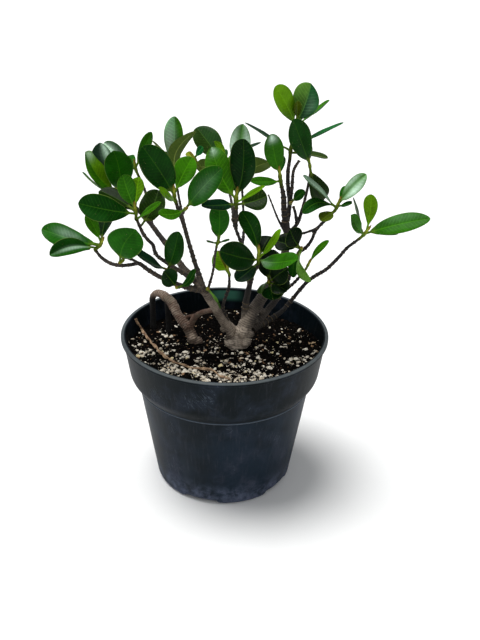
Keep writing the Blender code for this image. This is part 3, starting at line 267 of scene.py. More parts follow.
        (0.10, (217.5, 250.5, -8), 15, 12, 14, 0.05, "lime",
         {"base": 0.5, "end": 0.7, "half": "brown", "sway": -0.06})]),
    "low_middle": dict(branch="to_low_middle", stem=[(258.5, 257, -38), (258.8, 250, -40)], leaves=[
        (0.40, (219.5, 251.3, -68), 19.5, 10, 12, 0.05, "deep", {"sway": -0.03}),
        (0.15, (236.3, 281.0, -46), 13, 28, 14, 0.05, "blue", {"sway": -0.05}),
        (0.80, (241.5, 211.0, -27), 14.5, 22, 14, 0.04, "dark", {"sway": 0.055}),
        (0.60, (281.0, 229.5, -43), 7.5, 45, 14, 0.02, "lime", {"sway": 0.09}),
        (0.45, (298.0, 259.5, -73), 14.5, 36, 14, 0.02, "fresh",
         {"sway": 0.07, "glare": [(0.4, 0.2, 0.5, 0.2, 0.25)]}),
        (0.65, (270.0, 236.0, -24), 14, 25, 12, 0.04, "night")]),
    "low_right": dict(branch="right_stem_spur", stem=[(301.5, 248, -17)], leaves=[
        (0.60, (290.0, 230.0, -19), 16, 20, 12, 0.04, "night", {"sway": -0.08}),
        (0.50, (275.0, 241.0, -10), 15, 25, 12, 0.05, "night"),
        (0.30, (293.0, 277.5, -22), 8.5, 28, 12, 0.05, "dark", {"sway": 0.08}),
        (0.50, (311.0, 281.5, -40), 13, -68, 14, 0.16, "moss", {"base": 0.7, "end": 0.6})]),
    "right_twig": dict(branch="right_twig", stem=[(308, 265, -9), (309.5, 262, -11)], leaves=[
        (0.60, (329.0, 240.5, -14), 6, 36, 12, 0.05, "bright", {"sway": -0.03})]),
    "left_inner": dict(branch="to_left_leaf", stem=[(167, 269.5, -41)], leaves=[
        (0.65, (178.5, 231.5, -46), 14.5, 16, 14, 0.04, "dark", {"sway": 0.04, "base": 0.7}),
        (0.45, (134.5, 251.5, -52), 14, 62, 14, 0.0, "blue", {"sway": -0.08})]),
    "low_left_inner": dict(branch="low_left_spur", stem=[(176.5, 287, -38)], leaves=[
        (0.55, (163.5, 271.0, -50), 13.5, 8, 14, 0.05, "deep"),
        (0.75, (195.5, 269.5, -42), 7, 28, 12, 0.03, "dark", {"sway": 0.16})]),
    # the inner leaves fill the crown's dark middle: their night tone is painted shade
    "inner": dict(branch="inner_spur", stem=[(268.5, 281.5, -11)], leaves=[
        (0.60, (288.0, 268.0, -22), 18, 18, 12, 0.05, "night"),
        (0.70, (263.5, 254.0, -9), 14, 20, 12, 0.05, "night"),
        (0.50, (287.0, 291.0, -24), 16, 28, 12, 0.05, "night"),
        (0.80, (275.0, 250.0, -12), 19, 15, 12, 0.05, "night"),
        (0.30, (273.0, 300.0, -22), 16, 20, 12, 0.05, "deep"),
        (0.40, (261.0, 293.5, -28), 8, 66, 12, 0.12, "umber")]),
    "left_arm": dict(branch="left_arm_spur", stem=[(208, 289, -29)], leaves=[
        (0.65, (217.5, 303.0, -34), 4.5, 62, 12, 0.05, "moss"),
        (0.40, (220.5, 309.0, -36), 4, 70, 12, 0.06, "umber")]),
    "spur_leaf": dict(branch="leaf_spur", stem=[(290.9, 202.7, 9)], leaves=[
        (0.80, (305.0, 190.8, 4), 7.6, 20, 12, 0.04, "dark", {"base": 0.8})]),
}


def viewDirections():
    down, lean = math.radians(view["lookDown"]), math.radians(view["lean"])
    forward = Vector((0, math.cos(down), -math.sin(down)))
    levelRight, levelUp = Vector((1, 0, 0)), Vector((0, math.sin(down), math.cos(down)))
    right = math.cos(lean) * levelRight + math.sin(lean) * levelUp
    up = -math.sin(lean) * levelRight + math.cos(lean) * levelUp
    return right, up, forward


eye = Vector(view["eye"])
rightWay, upWay, forwardWay = viewDirections()


def spot(across, down, depth):
    ray = (forwardWay + rightWay * ((across - view["width"] / 2) / view["focal"])
           - upWay * ((down - view["height"] / 2) / view["focal"]))
    return eye + ray * ((depth - eye.y) / ray.y)


def smoothLine(points, radii, spacing):
    # a Catmull-Rom line through the points, with a radius for each of its places
    line, widths = [], []
    last = len(points) - 1
    for i in range(last):
        before, start = points[max(i - 1, 0)], points[i]
        end, after = points[i + 1], points[min(i + 2, last)]
        steps = max(1, round((end - start).length / spacing))
        for k in range(steps):
            t = k / steps
            bendIn, bendOut = (end - before) * 0.5, (after - start) * 0.5
            line.append(start * (2 * t**3 - 3 * t**2 + 1) + bendIn * (t**3 - 2 * t**2 + t)
                        + end * (3 * t**2 - 2 * t**3) + bendOut * (t**3 - t**2))
            widths.append(radii[i] + (radii[i + 1] - radii[i]) * t)
    return line + [points[-1]], widths + [radii[-1]]


def headingAt(line, i):
    return (line[min(i + 1, len(line) - 1)] - line[max(i - 1, 0)]).normalized()


def crossDirections(line):
    # two directions across the line at each of its places, carried along without turning
    side = (line[1] - line[0]).normalized().orthogonal().normalized()
    for i in range(len(line)):
        now = headingAt(line, i)
        side = (side - now * side.dot(now)).normalized()
        yield side, now.cross(side)


def distancesAlong(line):
    travelled = [0]
    for before, place in zip(line, line[1:]):
        travelled.append(travelled[-1] + (place - before).length)
    return travelled


def ringAround(place, side, other, radius, sides):
    turns = [math.tau * k / sides for k in range(sides)]
    return [place + (side * math.cos(turn) + other * math.sin(turn)) * radius for turn in turns]


def ringFaces(first, second):
    # quads between two rings of as many points
    rings = zip(first, first[1:] + first[:1], second[1:] + second[:1], second)
    return [tuple(numbers) for numbers in rings]


def tubeFaces(rings):
    # a tube over rings of point numbers, with a flat face at each end
    faces = [face for first, second in zip(rings, rings[1:]) for face in ringFaces(first, second)]
    return faces + [tuple(reversed(rings[0])), tuple(rings[-1])]


def srgb(red, green, blue):
    # a colour as a screen shows it, 0 to 255, made linear
    parts = [part / 255 for part in (red, green, blue)]
    return (*(part / 12.92 if part <= 0.04045 else ((part + 0.055) / 1.055) ** 2.4 for part in parts), 1.0)


def palette(**tones):
    return {name: srgb(*tone) for name, tone in tones.items()}


def smooth(low, high, value):
    # 0 up to low, 1 from high; low may be the larger
    t = min(max((value - low) / (high - low), 0), 1)
    return t * t * (3 - 2 * t)


def blended(first, second, share):
    return [a + (b - a) * share for a, b in zip(first, second)]


def layered(place, layers):
    # noise in several sizes: (size in mm, strength)
    return sum(strength * noise.noise(place / size) for size, strength in layers)


def zoneShare(place, share, *ramps):
    # how much of a zone's share a place has: each ramp goes from none to full along its axis, in mm
    for axis, low, high in ramps:
        share *= smooth(low, high, getattr(place, axis))
    return share


# Shader and geometry trees: Wire wraps an output socket, so that maths reads as plain expressions

class Wire:
    def __init__(self, graph, socket):
        self.graph, self.socket = graph, socket

    def maths(self, operation, *others):
        return self.graph.node("ShaderNodeMath", dict(enumerate((self, *others))), operation=operation)

    def between(self, low, high):
        # 0 up to low, 1 from high, smooth in between; low may be the larger
        return self.graph.node("ShaderNodeMapRange", {"Value": self, "From Min": low, "From Max": high},
                               interpolation_type="SMOOTHSTEP")

    def stripes(self):
        # 0 in the middle of each whole turn, 0.5 where it starts and ends
        return (self.maths("FRACT") - 0.5).maths("ABSOLUTE")

    def parts(self):
        split = self.graph.node("ShaderNodeSeparateXYZ", {0: self}).socket.node
        return [Wire(self.graph, socket) for socket in split.outputs]


def addOperator(sign, operation):
    def forwards(self, other):
        return self.maths(operation, other)

    def backwards(self, other):
        return self.graph.node("ShaderNodeMath", {0: other, 1: self}, operation=operation)

    setattr(Wire, f"__{sign}__", forwards)
    setattr(Wire, f"__r{sign}__", backwards)


for sign, operation in (("add", "ADD"), ("sub", "SUBTRACT"), ("mul", "MULTIPLY"),
                        ("truediv", "DIVIDE"), ("pow", "POWER")):
    addOperator(sign, operation)


class Graph:
    def __init__(self, tree):
        self.tree = tree

    def node(self, kind, sockets=None, out=0, **settings):
        made = self.tree.nodes.new(kind)
        for name, value in settings.items():
            setattr(made, name, value)
        for key, value in (sockets or {}).items():
            self.feed(made.inputs[key], value)
        return Wire(self, made.outputs[out])

    def feed(self, socket, value):
        if isinstance(value, Wire):
            self.tree.links.new(value.socket, socket)
        else:
            socket.default_value = value

    def vector(self, operation, *values):
        return self.node("ShaderNodeVectorMath", dict(enumerate(values)), operation=operation)

    def scaled(self, vector, factor):
        return self.node("ShaderNodeVectorMath", {0: vector, "Scale": factor}, operation="SCALE")

    def combined(self, x, y, z):
        return self.node("ShaderNodeCombineXYZ", {0: x, 1: y, 2: z})

    def named(self, name):
        return self.node("GeometryNodeInputNamedAttribute", {"Name": name}, data_type="FLOAT")

    def drawn(self, low, high, seed):
        # a random value for each element: a vector between vectors, or else a number
        kind, first, out = ("FLOAT_VECTOR", 0, 0) if isinstance(low, tuple) else ("FLOAT", 2, 1)
        sockets = {first: low, first + 1: high, "Seed": seed}
        return self.node("FunctionNodeRandomValue", sockets, out, data_type=kind)

    def circle(self, resolution, radius):
        return self.node("GeometryNodeCurvePrimitiveCircle", {"Resolution": resolution, "Radius": radius},
                         mode="RADIUS")


class Finish(Graph):
    def __init__(self, name, roughness=0.5, **fixed):
        self.material = bpy.data.materials.new(name)
        self.material.use_nodes = True
        super().__init__(self.material.node_tree)
        self.shader = self.tree.nodes["Principled BSDF"]
        self.wear(Roughness=roughness, **fixed)
        self.place = self.node("ShaderNodeTexCoord", out=3)      # Object coordinates, metres

    def attribute(self, name, out="Fac"):
        return self.node("ShaderNodeAttribute", out=out, attribute_name=name)

    def stretched(self, x, y, z):
        # Object coordinates with a scale for each axis, in turns a metre
        return self.vector("MULTIPLY", self.place, (x, y, z))

    def speckle(self, scale, detail=2.0, roughness=0.5, place=None):
        return self.node("ShaderNodeTexNoise", {"Vector": place or self.place, "Scale": scale,
                                                "Detail": detail, "Roughness": roughness})

    def mix(self, share, first, second):
        return self.node("ShaderNodeMix", {0: share, 6: first, 7: second}, 2, data_type="RGBA",
                         blend_type="MIX", clamp_factor=True)

    def painted(self, colour, *layers):
        # each layer is (how much of it shows, its colour), laid over those before
        for share, tone in layers:
            colour = self.mix(share, colour, tone)
        return colour

    def bump(self, height, distance, strength):
        return self.node("ShaderNodeBump", {"Height": height, "Distance": distance, "Strength": strength})

    def wear(self, **sockets):
        for name, value in sockets.items():
            self.feed(self.shader.inputs[name.replace("_", " ")], value)
        return self.material


def placed(name, mesh):
    made = bpy.data.objects.new(name, mesh)
    bpy.context.scene.collection.objects.link(made)
    return made


def meshOf(name, points, faces, edges=()):
    mesh = bpy.data.meshes.new(name)
    mesh.from_pydata([tuple(point) for point in points], list(edges), faces)
    return mesh


def addValues(mesh, values):
    # values is {name: a number, direction or colour for each point}
    fields = {1: ("FLOAT", "value"), 3: ("FLOAT_VECTOR", "vector"), 4: ("FLOAT_COLOR", "color")}
    for label, numbers in values.items():
        numbers = np.asarray(numbers, np.float32)
        kind, field = fields[numbers.size // len(numbers)]
        mesh.attributes.new(label, kind, "POINT").data.foreach_set(field, numbers.ravel())


def pieceFromArrays(name, points, faces, finish, values):
    # points in mm
    mesh = meshOf(name, np.asarray(points, float) * mm, faces)
    addValues(mesh, values)
    mesh.materials.append(finish)
    mesh.validate()
    mesh.shade_smooth()
    return placed(name, mesh)


def settled(piece):
    # the piece with its modifiers applied, as a plain mesh
    graph = bpy.context.evaluated_depsgraph_get()
    mesh = bpy.data.meshes.new_from_object(piece.evaluated_get(graph), depsgraph=graph)
    piece.modifiers.clear()
    piece.data = mesh
    return piece


def finished(piece, slot, *nodes):
    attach(piece, "root")
    if nodes:
        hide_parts(*nodes)
    print("made", piece.name, len(piece.data.polygons), "faces")


def nodeTree(name, inputs):
    # an empty geometry tree; inputs is {name: its default}, and a material is left empty
    kinds = {float: "NodeSocketFloat", int: "NodeSocketInt", str: "NodeSocketString"}
    tree = bpy.data.node_groups.new(name, "GeometryNodeTree")
    for way in ("INPUT", "OUTPUT"):
        tree.interface.new_socket("Geometry", in_out=way, socket_type="NodeSocketGeometry")
    for label, value in inputs.items():
        socket = tree.interface.new_socket(label, in_out="INPUT", socket_type=kinds[type(value)])
        socket.default_value = value
    tree.interface.new_socket("Material", in_out="INPUT", socket_type="NodeSocketMaterial")
    graph = Graph(tree)
    source = tree.nodes.new("NodeGroupInput")
    return graph, {socket.name: Wire(graph, socket) for socket in source.outputs if socket.name}


def closeTree(graph, result, material):
    last = graph.node("GeometryNodeSetMaterial", {0: result, "Material": material})
    end = graph.tree.nodes.new("NodeGroupOutput")
    graph.tree.links.new(last.socket, end.inputs[0])
    return graph.tree


def useTree(piece, tree, values):
    modifier = piece.modifiers.new(tree.name, "NODES")
    modifier.node_group = tree
    for item in tree.interface.items_tree:
        if item.in_out == "INPUT" and item.name in values:
            modifier[item.identifier] = values[item.name]
    return settled(piece)


# Leaves: each is a closed blade on a short stalk, lofted round its midrib, with its shoot's stem

leafForm = {
    "stalkLength": 3.5, "stalkMost": 0.2,    # mm, and the largest share of the leaf
    "stalkBlend": 0.12, "stalkRadius": 0.8, "stalkTaper": 12,
    "base": 1.0, "end": 0.56,                # how slender each end is: 0.5 is round, 1 a wedge
    "thickness": 0.55, "thinTip": 0.25, "thinning": 9, "ribDepth": 0.45, "ribTaper": 0.75,
    "wave": 0.022, "twist": 5.0, "twistFrom": 0.3, "sway": 0.012,
    "lip": 0.05, "lipFrom": 0.7,             # the turned-down edge
    "foldBlend": 0.25, "foldHeight": 1.19,   # how the blade folds at its midrib
    "cup": 0.03, "groove": 0.13, "grooveWidth": 0.6,
    "halfBlend": 0.12,                       # how softly one half's tone goes over into the other's
    "steps": 24, "seed": 21,
}
stemForm = {     # mm
    "gap": 0.35, "lead": 1.5, "collar": 1.2, "collarShare": 0.95, "least": 0.9, "spacing": 0.7,
    "budLength": 5.0, "budBase": 1.0, "budBelly": 0.35, "budTip": 0.12, "budSteps": 8, "sides": 12,
    "swelling": 0.28, "swellingLength": 0.9, "mostSwelling": 1.2, "uneven": 0.06,
    "woody": 0.55,       # the share of its length that is brown
}

# night and shade are darkened tones that paint the shade deep in the crown;
# sheen and glare are painted highlights, and pale stands in for a highlight where it is used
leafTones = palette(     # upper side, as it shows in soft light
    night=(3, 20, 4), dark=(12, 55, 7), deep=(4, 36, 5), mid=(25, 84, 7), fresh=(39, 94, 8),
    bright=(52, 110, 8), lime=(90, 138, 10), pale=(84, 146, 56), olive=(69, 87, 10),
    yellow=(116, 128, 17), teal=(16, 86, 36), blue=(4, 34, 17), grey=(39, 78, 41), slate=(27, 55, 36),
    moss=(84, 128, 46), umber=(33, 57, 14), brown=(75, 71, 10), shade=(20, 41, 5), cool=(36, 68, 29),
    sheen=(112, 182, 112), glare=(214, 244, 221))
stemTones = palette(wood=(46, 36, 24), green=(98, 122, 34), bud=(150, 160, 50), tip=(120, 84, 44))


def leafMaterial():
    f = Finish("waxy_leaf", roughness=0.38, Specular_IOR_Level=0.04)
    tone, chance = f.attribute("tone", "Color"), f.attribute("chance")
    across, along, half = f.attribute("leafPlace", "Vector").parts()    # -1 to 1, 0 to 1, and mm
    upper, blade, length = f.attribute("leafSide", "Vector").parts()
    away = across.maths("ABSOLUTE")
    fromRib = away * half                            # mm from the midrib
    # midrib, side veins that leave it at an angle, and the net between them
    ribWidth = 0.62 - along * 0.42
    rib = 1 - fromRib.between(ribWidth * 0.35, ribWidth)
    wander = f.speckle(260, 2) - 0.5
    line = ((along * length - fromRib * 0.75 + wander * 1.3) * 0.36).stripes().between(0.13, 0.02)
    veins = line * away.between(0.98, 0.7) * (1 - rib) * blade
    net = f.node("ShaderNodeTexVoronoi", {"Vector": f.place, "Scale": 900}, feature="DISTANCE_TO_EDGE")
    cells = net.between(0.12, 0.0) * blade
    # colour: patches, paler veins and margin, and a yellower base near the stalk
    patches = f.speckle(70, 3, 0.6).between(0.32, 0.7)
    fine = f.speckle(420, 3, 0.6).between(0.3, 0.72)
    # bloom: pale patches towards the margins, a painted sheen on the waxy surface
    bloom = f.speckle(38, 2, 0.5).between(0.5, 0.72) * away.between(0.15, 0.6) * blade
    paler = f.vector("ADD", f.scaled(tone, 1.7), (0.008, 0.017, 0.0015))
    ribTone = f.vector("ADD", f.scaled(tone, 1.5), (0.035, 0.075, 0.004))
    colour = f.painted(
        f.mix(patches, f.scaled(tone, 0.66), f.scaled(tone, 1.22)),
        (fine * 0.25, f.scaled(tone, 0.4)),
        (veins * (0.2 + chance * 0.4), paler),
        (cells * 0.12, paler),
        (bloom * chance * 0.35, f.vector("ADD", paler, (0.012, 0.026, 0.016))),
        (rib * blade * (0.35 + chance * 0.4), ribTone),
        (away.between(0.93, 1.0) * blade * 0.35, srgb(140, 164, 70)),
        (along.between(0.16, 0.0) * blade * 0.4, srgb(140, 156, 60)))
    # the lower side: paler, greyer, with its midrib standing out
    under = f.painted(f.mix(0.4, colour, srgb(96, 122, 60)), (rib * blade * 0.5, srgb(160, 172, 90)))
    # a few dry specks and dull water marks
    specks = f.speckle(1300, 1).between(0.73, 0.79) * blade
    colour = f.painted(colour, ((1 - upper) * blade, under), (specks * 0.5, srgb(150, 140, 96)))
    marks = f.speckle(150, 4, 0.7).between(0.52, 0.72)
    rough = 0.34 + marks * 0.14 + (1 - upper) * blade * 0.25 + (1 - blade) * 0.22
    height = rib * 0.7 + veins * 0.22 + cells * 0.06 + f.speckle(520, 3, 0.6) * 0.25
    normal = f.bump(height * (upper * -1.6 + 1.0), 0.0001, 0.5)
    return f.wear(Base_Color=colour, Roughness=rough, Normal=normal)


def leafPlane(root, tip, turn):
    # the blade's own directions: along it, across it, and out of its upper face
    along = (tip - root).normalized()
    toEye = (eye - (root + tip) / 2).normalized()
    face = (toEye - along * toEye.dot(along)).normalized()
    roll = along.cross(face)
    if roll.z < 0:
        roll = -roll
    face = (face * math.cos(turn) + roll * math.sin(turn)).normalized()
    return along, along.cross(face), face


def halfWidth(along, width, base, end):
    along = min(max(along, 0), 1)
    widest = base / (base + end)
    most = widest ** base * (1 - widest) ** end
    return 0.5 * width * along ** base * (1 - along) ** end / most


upperSide = [-1, -0.94, -0.78, -0.55, -0.3, -0.11, 0, 0.11, 0.3, 0.55, 0.78, 0.94, 1]
aroundBlade = upperSide + upperSide[-2:0:-1]


class Shell:
    # points, faces and per-point values of one piece, gathered before its mesh is made
    def __init__(self):
        self.points, self.faces = [], []
        self.values = {"tone": [], "leafPlace": [], "leafSide": [], "chance": []}

    def add(self, point, tone, place=(0, 0, 0), side=(1, 0, 0), chance=0.5):
        self.points.append(tuple(point))
        for numbers, value in zip(self.values.values(), (tone, place, side, chance)):
            numbers.append(value)
        return len(self.points) - 1

    def loft(self, rings, start, end):
        # rings of point numbers, drawn together to a point at each end
        for first, second in zip(rings, rings[1:]):
            self.faces += ringFaces(first, second)
        for a, b in zip(rings[-1], rings[-1][1:] + rings[-1][:1]):
            self.faces.append((a, b, end))
        for a, b in zip(rings[0], rings[0][1:] + rings[0][:1]):
            self.faces.append((b, a, start))


def leafLayout(root, tip, width, turn, fold, arch, shape):
    # the blade's stations from its root to just short of its tip: where the midrib is, the ways
    # across it and out of its face, its half width, and how flat and how folded it is there
    form = leafForm
    length = (tip - root).length
    along, across, face = leafPlane(root, tip, math.radians(turn))
    stalk = min(form["stalkLength"], form["stalkMost"] * length) / length
    blades = [0.5 - 0.5 * math.cos(math.pi * k / form["steps"]) for k in range(form["steps"])]
    for s in [0, stalk * 0.5] + [stalk + (1 - stalk) * t for t in blades]:
        t = (s - stalk) / (1 - stalk)
        half = max(halfWidth(t, width, shape["base"], shape["end"]),
                   form["stalkRadius"] * min(1, (1 - s) * form["stalkTaper"]))
        middle = (root + along * (length * s) + face * (arch * length * math.sin(math.pi * s))
                  + across * (shape["sway"] * length * math.sin(math.pi * s)))
        turned = math.radians(shape["twist"]) * (s - form["twistFrom"])
        sideWay = across * math.cos(turned) + face * math.sin(turned)
        faceWay = face * math.cos(turned) - across * math.sin(turned)
        yield (s, max(t, 0), middle, sideWay, faceWay, half, smooth(0, form["stalkBlend"], t),
               math.radians(fold) * smooth(0, form["foldBlend"], t))


def addLeaf(shell, root, tip, width, turn, fold, arch, tone, chance, shape):
    form = leafForm
    length = (tip - root).length
    shape = {"base": form["base"], "end": form["end"], "half": tone,
             "sway": form["sway"] * chance.uniform(-1, 1), "twist": form["twist"] * chance.uniform(-1, 1),
             "glare": [], **shape}
    shift = [chance.uniform(0, math.tau) for k in range(3)]
    waves = chance.uniform(1.2, 2.3)
    wave = width * form["wave"] * chance.uniform(0.5, 1.4)
    leafChance = chance.random()
    lighter = chance.uniform(0.88, 1.12)
    # the tone of its left half, then of its right half
    shades = [[part * lighter for part in leafTones[name][:3]] + [1.0] for name in (tone, shape["half"])]
    stalkShade = blended(shades[0], stemTones["green"], 0.55)
    sides = len(upperSide) - 1
    rings = []
    for s, t, middle, sideWay, faceWay, half, flat, angle in leafLayout(
            root, tip, width, turn, fold, arch, shape):
        thin = form["thickness"] / 2 * min(1, (1 - t) * form["thinning"] + form["thinTip"])
        stalk = ringAround(Vector(), -sideWay, faceWay, form["stalkRadius"], 2 * sides)
        ring = []
        for k, x in enumerate(aroundBlade):
            onTop = k <= sides
            away = abs(x)
            bend = math.sqrt(away * away + form["cup"]) - math.sqrt(form["cup"])
            lift = math.sin(angle) * bend * form["foldHeight"]
            lift -= form["lip"] * smooth(form["lipFrom"], 1.0, away)
            ripple = math.sin(math.tau * s * waves + shift[0 if x > 0 else 1]) * away ** 1.7
            groove = math.exp(-(x * half / form["grooveWidth"]) ** 2)
            level = thin * (1 - away ** 6)
            if onTop:
                level -= form["groove"] * groove
            else:
                level = -level - form["ribDepth"] * groove * (1 - form["ribTaper"] * t)
            sheet = (sideWay * (half * x * math.cos(angle * 0.9))
                     + faceWay * (half * lift + wave * ripple * flat + level))
            shade = blended(*shades, smooth(-form["halfBlend"], form["halfBlend"], x))
            # painted highlights: each glare patch blends the tone towards the pale glare colour
            for sideways, up, wide, high, strength in shape["glare"]:
                share = strength * math.exp(-((x - sideways) / wide) ** 2 - ((t - up) / high) ** 2)
                shade = blended(shade, leafTones["glare"], share)
            upper = 1.0 if 0 < k < sides else 0.5 if onTop else 0.0
            ring.append(shell.add(middle + stalk[k] * (1 - flat) + sheet * flat,
                                  blended(stalkShade, shade, flat), (x, t, half), (upper, flat, length),
                                  leafChance))
        rings.append(ring)
    start = shell.add(root, stalkShade)
    shell.loft(rings, start, shell.add(tip, shades[0], (0, 1, 0), (0.5, 1, length), leafChance))


def addStem(shell, points, width, joints, budLength):
    form, steps, woody = stemForm, stemForm["budSteps"], stemForm["woody"]
    heading = (points[1] - points[0]).normalized()
    knots = [points[0] - heading * form["collar"]] + points
    widths = [width * form["collarShare"], width]
    widths += [max(width, form["least"])] * (len(points) - 2) + [form["budBase"]]
    line, radii = smoothLine(knots, widths, form["spacing"])
    bud = (points[-1] - points[-2]).normalized()
    stemEnd = len(line) - 1
    for k in range(1, steps + 1):           # the bud: a slim pointed sheath
        t = k / steps
        line.append(points[-1] + bud * (budLength * t))
        belly = 1 + form["budBelly"] * math.sin(math.pi * t)
        radii.append(form["budBase"] * belly * (1 - t) ** 0.6 * 0.9 + form["budTip"])
    rings = []
    for i, (place, radius, (side, other)) in enumerate(zip(line, radii, crossDirections(line))):
        swell = sum(math.exp(-((place - joint).length / form["swellingLength"]) ** 2) for joint in joints)
        share = i / stemEnd
        if i <= stemEnd:
            radius += (form["swelling"] * min(swell, form["mostSwelling"])
                       + form["uneven"] * noise.noise(place * 0.9))
        if i > stemEnd:
            mark = blended(stemTones["bud"], stemTones["tip"], (i - stemEnd) / steps)
        elif share > woody:
            mark = blended(stemTones["green"], stemTones["bud"], (share - woody) / (1 - woody))
        else:
            mark = blended(stemTones["wood"], stemTones["green"], share / woody)
        mark = [part * (1 - 0.3 * min(swell, 1)) for part in mark[:3]] + [1.0]
        rings.append([shell.add(point, mark)
                      for point in ringAround(place, side, other, radius, form["sides"])])
    end = shell.add(line[-1], mark)
    shell.loft(rings, shell.add(line[0], stemTones["wood"]), end)


def stemPlace(points, part):
    lengths = [(b - a).length for a, b in zip(points, points[1:])]
    left = part * sum(lengths)
    for start, end, length in zip(points, points[1:], lengths):
        if left <= length:
            return start + (end - start) * (left / length)
        left -= length
    return points[-1]


def branchLine(name, spacing):
    points = [spot(*place[:3]) for place in branches[name]]
    return smoothLine(points, [place[3] for place in branches[name]], spacing)


def makeShoots():
    finish = leafMaterial()
    count = 0
    for order, (name, shoot) in enumerate(shoots.items()):
        chance = random.Random(leafForm["seed"] + order * 7)
        line, widths = branchLine(shoot["branch"], 11)
        heading = (line[-1] - line[-2]).normalized()
        gap = stemForm["gap"]
        points = [line[-1] + heading * gap, line[-1] + heading * (gap + stemForm["lead"])]
        points += [spot(*place) for place in shoot["stem"]]
        shell = Shell()
        joints = [stemPlace(points, leaf[0]) for leaf in shoot["leaves"]]
        addStem(shell, points, widths[-1], joints, shoot.get("bud", stemForm["budLength"]))
        for root, (part, tip, width, turn, fold, arch, tone, *more) in zip(joints, shoot["leaves"]):
            shape = more[0] if more else {}
            root = spot(*shape["root"]) if "root" in shape else root
            addLeaf(shell, root, spot(*tip), width, turn, fold, arch, tone, chance, shape)
            count += 1
        piece = pieceFromArrays("leaves_" + name, shell.points, shell.faces, finish, shell.values)
        finished(piece, "leaves", "shoot_" + name)
    print("shoots done:", len(shoots), "with", count, "leaves")


# Wood: the trunk, branches and arched root grown together, with rings, lumps and bark

woodForm = {
    "voxel": 0.62, "smoothing": 3,           # mm, and rounds of smoothing
    "lumps": 0.088, "rings": 0.035,          # mm for each mm of thickness at most
    "lumpLayers": ((3.2, 1), (1.5, 0.6), (0.8, 0.35)),
    "ringTurn": 3.9, "ringWander": 3.2, "ringSize": 4.0,         # how closely the rings lie, and waver
    "mostThick": 4.5, "knots": 0.22, "knotLength": 2.1, "knotsBelow": 2.6, "neighbours": 14,
    "dampFrom": 0.5, "dampTo": 7,            # mm over the mix
    "scarGap": 4.2, "scarBand": 0.16, "scarsBelow": 2.7,
}
# swellings on the trunk and roots: (across, down, depth, radius in mm)
burls = [
    (229.5, 342, -9, 4.2), (234, 350, -12, 2.8), (246, 341.5, -10, 4.4), (230.5, 334.5, -8, 3.8),
    (243, 333, -9, 4.4), (251, 334, -6, 2.9), (223.5, 329, -7, 2.8), (238.5, 353, -13, 2.4),
    (192.5, 338, 0, 3.8), (199, 341, 1, 3.3), (186.5, 327, 3, 3.6), (165, 297.5, 22, 3.5),
    (256, 321, 0, 2.9), (262, 311, 5, 2.8), (216, 308, -12, 3.0), (203, 290, -17, 3.1),
]
# zones of painted shade, where the bark is darkened
paintedLegShade = (1.0, ("y", 15, 22), ("z", 143, 136))                              # the roots' back legs
paintedCrownShade = [(0.85, ("z", 130, 158), ("x", -12, 8), ("z", 250, 215)),         # inside the crown
             (0.72, ("x", 14, 24), ("z", 205, 180))]                          # and low on its right
barkTones = palette(
    young=(25, 18, 13), old=(112, 99, 86), crest=(186, 170, 152), crack=(14, 10, 8),
    root=(102, 70, 53), rootTop=(120, 112, 94), dark=(9, 7, 6), base=(216, 200, 182))
rootNames = ("arched_root", "second_leg", "root_link", "thin_link")


def barkMaterial():
    f, tones = Finish("ringed_bark", roughness=0.8), barkTones
    # mm along the branch, its radius in mm, 1 on the roots, 1 near the soil, and 1 where shade is painted on
    arc, thick, rooty, damp, shaded = map(f.attribute, ("arc", "thick", "rooty", "damp", "shaded"))
    wander = f.speckle(210, 3, 0.6)
    fine = f.speckle(900, 4, 0.65)
    coarse = f.speckle(90, 4, 0.6)
    ring = (arc * 0.62 + wander * 1.1).stripes()
    crease = ring.between(0.16, 0.03)
    streaks = f.speckle(1, 4, 0.7, f.stretched(700, 700, 160))
    old = thick.between(1.9, 3.7)
    moss = f.speckle(55, 3, 0.6).between(0.52, 0.7) * rooty * (1 - damp)
    colour = f.painted(
        f.mix(old, tones["young"], tones["old"]),
        (thick.between(4.2, 7.5) * 0.85, tones["base"]),
        (rooty * 0.75, tones["root"]),
        (coarse.between(0.42, 0.66) * (0.08 + old * 0.5), tones["crest"]),
        (coarse.between(0.46, 0.26) * 0.7, tones["dark"]),
        (fine.between(0.5, 0.72) * (0.12 + old * 0.25), tones["crest"]),
        (streaks.between(0.56, 0.34) * 0.35, tones["crack"]),
        (ring.between(0.3, 0.5) * old * 0.25, tones["crest"]),
        (crease * (0.4 + old * 0.2), tones["crack"]),
        (moss * 0.7, tones["rootTop"]),
        (damp * damp * 0.3, tones["crack"]),
        # painted shade: bark inside the crown, low on its right and on the roots' back legs goes near black
        (shaded, tones["dark"]))
    height = fine * 0.5 + coarse * 0.8 - crease * 0.7 + streaks * 0.25
    rough = 0.72 + fine * 0.2 - damp * 0.12
    return f.wear(Base_Color=colour, Roughness=rough, Normal=f.bump(height, 0.0005, 0.7))


def tubeInto(points, faces, line, widths, sides=14):
    rings = []
    for place, radius, (side, other) in zip(line, widths, crossDirections(line)):
        rings.append(list(range(len(points), len(points) + sides)))
        points += ringAround(place, side, other, radius, sides)
    faces += tubeFaces(rings)


def ballInto(points, faces, place, radius):
    ball = bmesh.new()
    bmesh.ops.create_icosphere(ball, subdivisions=2, radius=radius)
    first = len(points)
    points.extend(place + v.co for v in ball.verts)
    faces.extend(tuple(first + v.index for v in face.verts) for face in ball.faces)
    ball.free()


